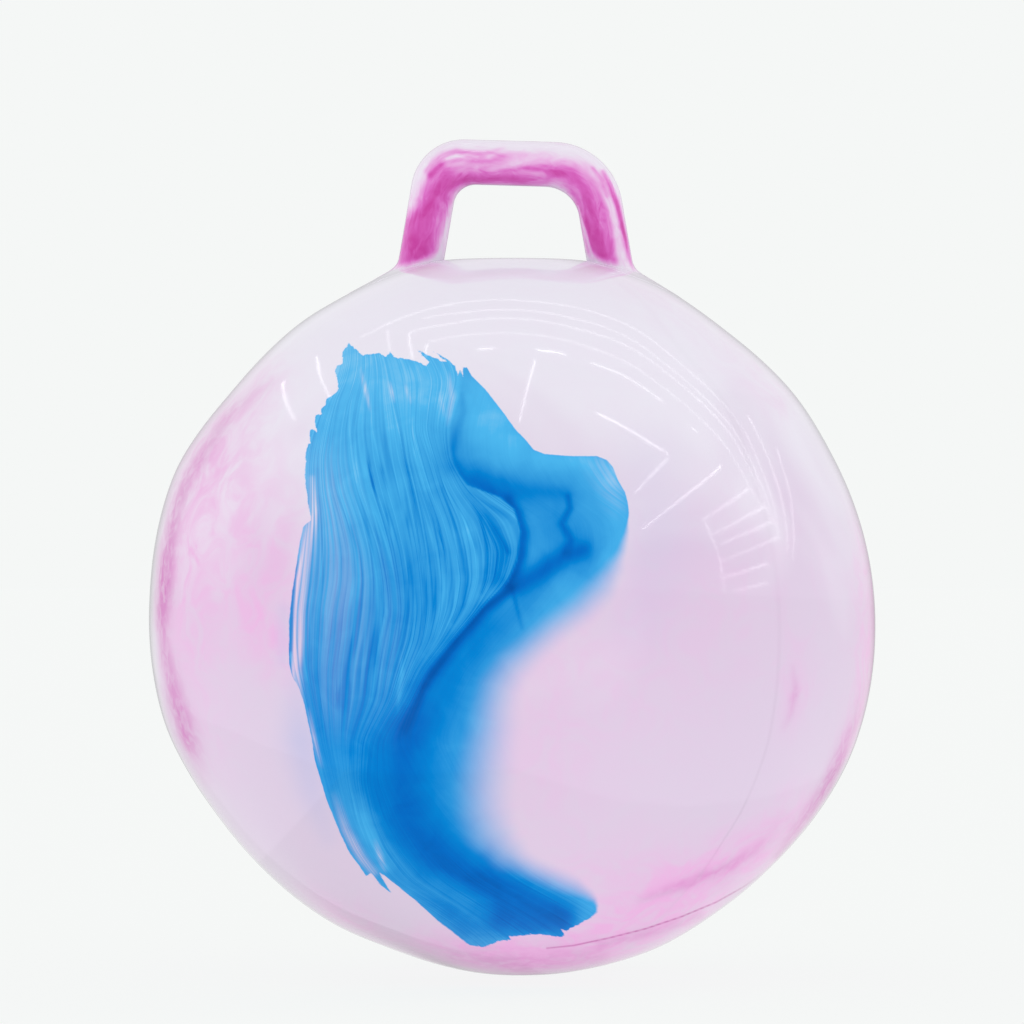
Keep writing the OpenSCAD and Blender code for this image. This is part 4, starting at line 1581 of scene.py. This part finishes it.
@dataclass
class Painter:
    """Lays the photographed patterns on the front of the skin, and marbling of the same kind on the back.

    Attributes:
        veil, streak, wash: Pigments of the front; the wash is blue bled into the milk. Limb band: painted
            reflection.
        back_veil, back_streak: Pigments of the back.
        pooled, brushed: Depth of the blue right of its crease, and left of it.
        parted: Gaps between the strands, where the milk shows.
        outline: Stretches of the blue's outline, clockwise.
        stream_rows, stream_columns: Lines of the drag: for each row of pixels, the column of every line.
        crease: Row and column of the crease, and the width over which the two sides blend.
        fold: Pixels along the fine magenta fold.
        fold_strengths: Strengths along the fold.
    """

    veil: Pigment = VEIL
    streak: Pigment = STREAK
    # Painted reflection along the left limb, not pigment
    rim_reflection: Pigment = RIM_REFLECTION
    wash: Pigment = WASH
    back_veil: Pigment = BACK_VEIL
    back_streak: Pigment = BACK_STREAK
    pooled: Pigment = POOLED
    brushed: Pigment = BRUSHED
    parted: Pigment = PARTED
    outline: tuple[EdgeStretch, ...] = OUTLINE
    stream_rows: tuple[float, ...] = (
        340, 360, 380, 400, 430, 460, 490, 520, 550, 580, 610, 640, 670, 700, 740, 780, 820, 850, 880, 900,
        925, 950,
    )
    stream_columns: tuple[tuple[float, ...], ...] = (
        (345, 352, 362, 378, 392, 405, 420, 435, 450),
        (341, 352, 364, 386, 404, 420, 436, 450, 462),
        (337, 348, 362, 390, 410, 428, 444, 456, 464),
        (324, 340, 356, 394, 410, 425, 440, 450, 458),
        (312, 334, 351, 400, 409, 422, 436, 445, 451),
        (306, 330, 354, 404, 415, 432, 443, 448, 452),
        (305, 333, 361, 411, 424, 441, 456, 464, 472),
        (302, 342, 372, 416, 435, 453, 478, 490, 517),
        (297, 349, 381, 421, 443, 461, 486, 508, 520),
        (293, 350, 387, 424, 446, 466, 485, 502, 509),
        (289, 345, 390, 425, 444, 460, 473, 478, 482),
        (289, 342, 385, 421, 435, 443, 449, 452, 455),
        (292, 337, 381, 408, 416, 421, 424, 427, 430),
        (301, 335, 378, 397, 403, 407, 410, 412, 415),
        (312, 336, 360, 374, 379, 383, 387, 392, 400),
        (323, 342, 358, 370, 378, 385, 393, 402, 420),
        (336, 352, 366, 380, 392, 404, 416, 430, 450),
        (349, 364, 378, 396, 410, 425, 440, 458, 482),
        (372, 384, 400, 420, 436, 452, 472, 494, 520),
        (404, 418, 434, 452, 468, 486, 508, 532, 560),
        (441, 456, 472, 490, 508, 528, 550, 575, 600),
        (473, 488, 502, 522, 542, 562, 585, 605, 630),
    )
    crease: tuple[tuple[float, float, float], ...] = (
        (343, 466, 8), (380, 461, 6), (400, 458, 4), (427, 450, 3), (445, 450, 3), (461, 453, 3),
        (474, 459, 4), (485, 467, 5), (497, 500, 5), (509, 514, 4), (531, 520, 3), (560, 517, 3),
        (582, 508, 3), (601, 488, 3), (621, 471, 3), (646, 449, 3), (673, 426, 3), (694, 418, 3),
        (711, 407, 4), (728, 391, 8), (745, 384, 16), (770, 380, 28), (823, 394, 36), (866, 428, 36),
        (900, 480, 50),
    )
    fold: tuple[Point, ...] = (
        (546.8, 948.2), (573.6, 945.5), (609.3, 937.9), (645, 928.9), (680.7, 917), (716.4, 902.1),
        (743.2, 887), (764.6, 871.8),
    )
    fold_strengths: tuple[float, ...] = (0.6, 0.77, 0.87, 0.9, 0.9, 0.75, 0.0)
    # Row of the lines of the drag whose columns name them, and pixels over which their corners are eased
    naming_row: int = 8
    stream_reach: float = 9.0
    # Rows over which the strands calm down, below and above, how far they do, and the row where they come
    # back in the lobe
    calm_rows: Point = (680.0, 750.0)
    calm_share: float = 0.6
    thin_rows: Point = (360.0, 450.0)
    thin_share: float = 0.5
    lobe_row: float = 868.0
    # Half the rows over which they come back, how strong they are there, and their least strength anywhere
    lobe_half: float = 25.0
    lobe_brush: float = 0.5
    least_brush: float = 0.12
    # Millimetres over which neighbouring stretches of the outline share their looks, and the distance that
    # stands for far away
    stretch_share: float = 3.0
    far_mm: float = 60.0
    # Millimetres in front of the ball's middle between which the back's marbling gives way to the front's
    turn_over: Point = (-95.0, 12.0)

    def paint(self, skin: Piece, centre_z: float) -> None:
        """Stores every pattern as an attribute of the skin.

        Args:
            skin: Mesh of skin.
            centre_z: Height of the ball's centre, in millimetres.
        """
        points = points_of(skin)
        places = on_photo(points, centre_z)
        columns = places[:, 0] / PHOTO_MM_PER_PX + PHOTO_CENTRE[0]
        rows = PHOTO_CENTRE[1] - places[:, 1] / PHOTO_MM_PER_PX
        front = smooth(-points[:, 1], *self.turn_over)
        left = self.left_of_crease(rows, columns)
        pinks = (("veil", self.veil, self.back_veil), ("streak", self.streak, self.back_streak))
        for name, near, far in pinks:
            store(skin, name, front * near.amount(places) + (1 - front) * far.amount(places))
        # Painted reflection along the left limb, on the front only
        store(skin, "rim_reflection", front * self.rim_reflection.amount(places))
        store(skin, "wash", front * self.wash.amount(places))
        store(skin, "flow", self.flow(rows, columns))
        lobe = smooth(rows, self.lobe_row - self.lobe_half, self.lobe_row + self.lobe_half)
        calmed = left * (1.0 - self.calm_share * smooth(rows, *self.calm_rows))
        calmed = calmed * (1.0 - self.thin_share * (1.0 - smooth(rows, *self.thin_rows)))
        brush = np.maximum(calmed, self.lobe_brush * lobe)
        store(skin, "brush", self.least_brush + (1 - self.least_brush) * brush)
        store(skin, "depth", left * self.brushed.amount(places) + (1 - left) * self.pooled.amount(places))
        store(skin, "parted", self.parted.amount(places))
        swirl, torn = self.swirl(places, points[:, 1] < 0)
        store(skin, "swirl", swirl)
        store(skin, "torn", torn)
        distance, share = nearest_on_line(places, from_photo(self.fold))
        strength = np.interp(share, np.linspace(0, 1, len(self.fold_strengths)), self.fold_strengths)
        distance = np.where(points[:, 1] < 0, distance, self.far_mm)
        store(skin, "fold", np.stack([distance, strength, np.zeros(len(places))], axis=1))

    def swirl(self, places: Array, front: Array) -> tuple[Array, Array]:
        """Signed distance inside the blue's outline, its softness, its teeth and its ragged depth.

        Args:
            places: Rows of right and up from the ball's centre, in millimetres.
            front: True for points on the front half.

        Returns:
            Rows of distance, softness and length of the teeth, and the ragged depths, in millimetres.
        """
        stretches = [from_photo(stretch.points) for stretch in self.outline]
        whole = np.concatenate(stretches)
        gaps = []
        for number, stretch in enumerate(stretches):
            closing = stretches[(number + 1) % len(stretches)][:1]
            gaps.append(nearest_on_line(places, np.concatenate([stretch, closing]))[0])
        nearest = np.min(gaps, axis=0)
        weights = np.exp(-(np.array(gaps) - nearest) / self.stretch_share)
        weights /= weights.sum(axis=0)
        looks = np.array([(stretch.soft, stretch.fray, stretch.torn) for stretch in self.outline]).T
        soft, fray, torn = looks @ weights * PHOTO_MM_PER_PX
        signed = np.where(inside(places, whole), nearest, -nearest)
        signed[~front] = -self.far_mm
        return np.stack([signed, soft, fray], axis=1), torn

    def flow(self, rows: Array, columns: Array) -> Array:
        """Pixels across the drag of the blue, and metres along it.

        Args:
            rows: Rows of the photograph.
            columns: Columns of the photograph.

        Returns:
            Rows of three numbers, the last of them 0.
        """
        names = self.stream_columns[self.naming_row]
        tracks = zip(*self.stream_columns)
        lines = [eased_track(rows, self.stream_rows, track, self.stream_reach) for track in tracks]
        across = names[0] + np.minimum(columns - lines[0], 0) + np.maximum(columns - lines[-1], 0)
        for number, (line, after) in enumerate(zip(lines, lines[1:])):
            share = np.clip((columns - line) / np.maximum(after - line, 1.0), 0, 1)
            across = across + share * (names[number + 1] - names[number])
        return np.stack([across, rows * PHOTO_MM_PER_PX * MM, np.zeros(len(rows))], axis=1)

    def left_of_crease(self, rows: Array, columns: Array) -> Array:
        """Share that belongs to the brushed side, left of the crease."""
        crease_rows, crease_columns, widths = zip(*self.crease)
        at = np.interp(rows, crease_rows, crease_columns)
        width = np.interp(rows, crease_rows, widths)
        return smooth((at - columns) / width, -0.5, 0.5)


def paint_bow(tube: Piece, centre_z: float, crown_z: float) -> None:
    """Stores the pink of the bow, which ends at the crease round each foot.

    Args:
        tube: Mesh of the bow.
        centre_z: Height of the ball's centre, in millimetres.
        crown_z: Height of the crown, in millimetres.
    """
    crease_from = 42.0
    crease_fall = 0.32
    points = points_of(tube)
    crease = crown_z - (np.abs(points[:, 0]) - crease_from) * crease_fall
    above = smooth(points[:, 2] - crease, -1.0, 8.0)
    store(tube, "pigment", BOW_PIGMENT.amount(on_photo(points, centre_z)) * above)


@dataclass(frozen=True)
class TubeRow:
    """A row of tube lamps on the ceiling, end to end.

    Attributes:
        points: Right and back of the lamps' ends, in heights of the ceiling above the ball's centre.
        radiance: Brightness, where 1 is white.
    """

    points: tuple[Point, ...]
    radiance: float


@dataclass
class Studio:
    """Pale floor and surround, even light, and thin tube lamps on the ceiling that show as highlights."""

    backdrop: str = "#f5f7f6"
    # Strength of the even light at the horizon, overhead and from the table
    surround: float = 1.11
    overhead: float = 0.9
    floor_glow: float = 1.14
    # Share of the floor's look that takes the object's shadow, and the light that falls on it in the open
    shadow_share: float = 0.09
    open_floor: float = 0.92
    # Strength of the room behind the camera and straight behind the object, as reflections show it, and the
    # shares of the way back between which it changes
    room_front: float = 0.1
    room_back: float = 0.62
    front_range: Point = (-0.65, 0.2)
    back_range: Point = (0.9, 1.0)
    floor_size: float = 40.0
    ceiling_h: float = 1.6
    # Width of a lamp straight overhead; the others are wider, so that all look as thick from the ball
    lamp_width: float = 0.015
    sensor_mm: float = 36.0
    rows: tuple[TubeRow, ...] = (
        # Long rows at the back
        TubeRow(((-0.56, 0.54), (-0.31, 0.47), (0.06, 0.41), (0.48, 0.435), (1.3, 0.46), (3.1, 0.46)), 2.9),
        TubeRow(((-0.31, 0.37), (-0.13, 0.31), (0.23, 0.285), (0.8, 0.31), (2.5, 0.36), (3.2, 0.43)), 3.3),
        TubeRow(((-0.38, 0.28), (-0.2, 0.23), (0.24, 0.19), (0.8, 0.24), (2.23, 0.27), (2.65, 0.3)), 4.0),
        TubeRow(((-0.31, 0.12), (-0.1, 0.085), (0.3, 0.06), (0.9, 0.09), (1.84, 0.12), (2.25, 0.2)), 3.6),
        TubeRow(((1.14, 0.655), (1.86, 0.685), (4.04, 0.7)), 3.4),
        TubeRow(((1.65, 0.97), (2.43, 0.93), (4.67, 0.95)), 2.9),
        # Single tubes overhead
        TubeRow(((0.317, -0.06), (0.738, -0.032)), 9.5),
        TubeRow(((0.092, -0.119), (0.042, -0.568)), 9.5),
        TubeRow(((-0.133, -0.034), (-0.065, -0.033)), 9.5),
        TubeRow(((0.09, -0.044), (0.212, -0.042)), 15.0),
        TubeRow(((0.431, -0.411), (0.66, -0.422), (0.938, -0.42)), 15.5),
        TubeRow(((0.959, -0.454), (0.985, -0.991)), 8.8),
        TubeRow(((1.411, -0.099), (1.483, -1.558)), 10.5),
        TubeRow(((0.902, -0.059), (0.979, -0.033)), 8.0),
        # Rungs to the right
        TubeRow(((1.871, 0.091), (1.955, -0.804)), 5.8),
        TubeRow(((2.232, 0.266), (2.389, -0.884)), 5.3),
        TubeRow(((2.661, 0.327), (2.774, -0.907)), 5.2),
        TubeRow(((3.222, 0.45), (3.65, -1.302)), 3.6),
        TubeRow(((4.57, -0.059), (5.211, -1.957)), 6.8),
        TubeRow(((7.004, -0.245), (8.113, -2.384)), 4.6),
        TubeRow(((1.955, -0.8), (3.38, -1.24), (7.8, -2.87)), 6.0),
        # Tubes to the left
        TubeRow(((-0.38, 0.28), (-0.4, 0.031)), 4.5),
        TubeRow(((-0.458, 0.427), (-0.481, 0.185)), 2.2),
        TubeRow(((-0.32, 0.105), (-0.344, 0.004)), 6.0),
        TubeRow(((-0.79, 0.78), (-0.856, 0.383), (-0.876, 0.165)), 4.0),
        TubeRow(((-1.037, 1.008), (-1.095, 0.655), (-1.137, 0.357)), 3.5),
    )

    def build(self, centre_z: float) -> None:
        """Makes the floor, the surround, the lamps and the camera.

        Args:
            centre_z: Height of the ball's centre, in metres.
        """
        self.floor(centre_z)
        self.world()
        for number, row in enumerate(self.rows):
            for place, ends in enumerate(zip(row.points, row.points[1:])):
                self.hang(f"tube_lamp_{number}_{place}", *ends, row.radiance, centre_z)
        self.camera(centre_z)

    def dimmed(self, making: Nodes, path: Sequence[Socket], back: Socket) -> Socket:
        """Strength of the room in a direction: as reflections show it for them, and 1 for all other rays.

        Args:
            making: Tree under construction.
            path: Outputs that say what kind of ray it is.
            back: Share of the direction that points away from the camera.

        Returns:
            Numbers from 0 to 1.
        """
        front = making.out(Kind.EASE, back, *self.front_range, self.room_front, 1.0)
        behind = making.out(Kind.EASE, back, *self.back_range, 1.0, self.room_back)
        both = making.out(Kind.MULTIPLY, front, behind)
        return making.out(Kind.MIX_NUMBERS, path["Is Glossy Ray"], 1.0, both)

    def floor(self, centre_z: float) -> None:
        """Large pale sheet that the ball stands on, as strong in reflections as the room past it."""
        half = self.floor_size / 2 / MM
        corners = [(-half, -half, 0), (half, -half, 0), (half, half, 0), (-half, half, 0)]
        sheet = link_mesh("floor", corners, [(0, 1, 2, 3)])
        making = Finish("lit_white_table")
        put, out = making.put, making.out
        path = put("ShaderNodeLightPath").outputs
        way = out(Kind.DIRECTION, out(Kind.ADD_VECTORS, out(Kind.PLACE), (0.0, 0.0, -centre_z)))
        shine = self.dimmed(making, path, put("ShaderNodeSeparateXYZ", {0: way}).outputs[1])
        paper = out(Kind.SCALE, linear(self.backdrop)[:3], shine)
        plain = put("ShaderNodeBsdfDiffuse", {"Color": paper}).outputs[0]
        # The shown share is brightened so that the open floor is as bright as the backdrop
        even = (1 - self.shadow_share * self.open_floor) / (1 - self.shadow_share)
        shown = put("ShaderNodeEmission", {"Color": paper, "Strength": even}).outputs[0]
        glow = put("ShaderNodeEmission", {"Strength": self.floor_glow}).outputs[0]
        seen = out(Kind.MAXIMUM, path["Is Camera Ray"], path["Is Glossy Ray"])
        top = out(Kind.MIX_SHADERS, out(Kind.MULTIPLY, seen, 1 - self.shadow_share), plain, shown)
        making.end(out(Kind.MIX_SHADERS, path["Is Diffuse Ray"], top, glow))
        sheet.data.materials.append(making.material)

    def world(self) -> None:
        """Even light all round, and the backdrop's colour for the camera and in reflections."""
        world = bpy.data.worlds.new("studio")
        bpy.context.scene.world = world
        world.use_nodes = True
        making = Nodes(world.node_tree)
        put, out = making.put, making.out
        path = put("ShaderNodeLightPath").outputs
        seen = out(Kind.MAXIMUM, path["Is Camera Ray"], path["Is Glossy Ray"])
        seen = out(Kind.MAXIMUM, seen, path["Is Transmission Ray"])
        way = put("ShaderNodeSeparateXYZ", {0: put("ShaderNodeTexCoord").outputs["Generated"]}).outputs
        height = out(Kind.EASE, way[2], 0.0, 1.0, self.surround, self.overhead)
        light = put("ShaderNodeBackground", {"Color": (1.0, 1.0, 1.0, 1.0), "Strength": height})
        shine = self.dimmed(making, path, way[1])
        shown = put("ShaderNodeBackground", {"Color": self.backdrop, "Strength": shine})
        both = out(Kind.MIX_SHADERS, seen, light.outputs[0], shown.outputs[0])
        put("ShaderNodeOutputWorld", {"Surface": both})

    def hang(self, name: str, start: Point, end: Point, radiance: float, centre_z: float) -> None:
        """Hangs one tube lamp on the ceiling, facing down. It shows in reflections and lights nothing else.

        Args:
            name: Name of the lamp.
            start: Right and back of one end, in heights of the ceiling.
            end: Right and back of the other end.
            radiance: Brightness, where 1 is white.
            centre_z: Height of the ball's centre, in metres.
        """
        start = Vector((*start, 1.0)) * self.ceiling_h
        end = Vector((*end, 1.0)) * self.ceiling_h
        run = end - start
        light = bpy.data.lights.new(name, "AREA")
        light.shape = "RECTANGLE"
        light.size = run.length
        middle = (start + end) / 2
        seen_share = run.normalized().cross(middle.normalized()).length
        light.size_y = self.lamp_width * seen_share * (middle.length / self.ceiling_h) ** 2
        light.energy = radiance * math.pi * light.size * light.size_y
        made = bpy.data.objects.new(name, light)
        made.location = middle + Vector((0, 0, centre_z))
        made.rotation_euler = (0, 0, math.atan2(run.y, run.x))
        made.visible_diffuse = False
        bpy.context.scene.collection.objects.link(made)

    def camera(self, centre_z: float) -> None:
        """Level camera in front, with the photograph's frame at the ball."""
        view = bpy.data.cameras.new("camera")
        view.sensor_width = self.sensor_mm
        frame_width = PHOTO_WIDTH_PX * PHOTO_MM_PER_PX * MM
        view.lens = self.sensor_mm * PHOTO_DISTANCE * MM / frame_width
        made = bpy.data.objects.new("camera", view)
        right = (PHOTO_WIDTH_PX / 2 - PHOTO_CENTRE[0]) * PHOTO_MM_PER_PX * MM
        above = (PHOTO_CENTRE[1] - PHOTO_WIDTH_PX / 2) * PHOTO_MM_PER_PX * MM
        made.location = (right, -PHOTO_DISTANCE * MM, centre_z + above)
        made.rotation_euler = (math.pi / 2, 0, 0)
        bpy.context.scene.collection.objects.link(made)
        bpy.context.scene.camera = made
        bpy.context.scene.view_settings.view_transform = "Standard"


def settle(piece: Piece, body: Body, slot: str, *nodes: str) -> None:
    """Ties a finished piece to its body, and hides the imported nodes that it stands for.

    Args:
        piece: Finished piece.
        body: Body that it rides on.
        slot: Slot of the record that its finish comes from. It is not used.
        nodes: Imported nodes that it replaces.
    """
    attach(piece, body.value)
    if nodes:
        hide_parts(*nodes)
    log.info("%s rides on %s", piece.name, body.value)


def main() -> None:
    """Builds the pieces in order, from the skin to the studio."""
    bow = Bow.from_frame()
    ball = BallSkin.from_frame(bow)
    valve = Valve.from_frame()

    painter = Painter()
    marbled = MarbledVinyl().make()
    for piece, slot, node in (
        (ball.make_skin(), "pearl_vinyl", "ball_shell"),
        (ball.make_patch(), "blue_vinyl", "blue_swirl"),
    ):
        painter.paint(piece, ball.centre_z)
        piece.data.materials.append(marbled)
        settle(piece, Body.BALL, slot, node)

    tube = bow.make(BowVinyl().make())
    paint_bow(tube, ball.centre_z, ball.crown_z)
    settle(tube, Body.BALL, "pink_vinyl", "handle_bow")

    flash = PlainVinyl(name="trimmed_flash_vinyl", colour="#e6dcea", cloudy="#e0c6de", roughness=0.2).make()
    settle(PartingLine().make(ball, bow, flash), Body.BALL, "pearl_vinyl")

    collar = PlainVinyl(name="moulded_collar_vinyl", colour="#ece6f0", cloudy="#e4dae8").make()
    settle(valve.seat(collar), Body.BALL, "seat_vinyl", "valve_seat")
    milky = {"colour": "#f3f2f5", "cloudy": "#ebe9ee"}
    polythene = PlainVinyl(name="moulded_polythene", roughness=0.35, **milky).make()
    settle(valve.plug(polythene), Body.PLUG, "plug_plastic", "valve_plug")
    settle(valve.ribs(polythene), Body.PLUG, "plug_plastic")

    Studio().build(ball.centre_z * MM)


if __name__ == "__main__":
    main()
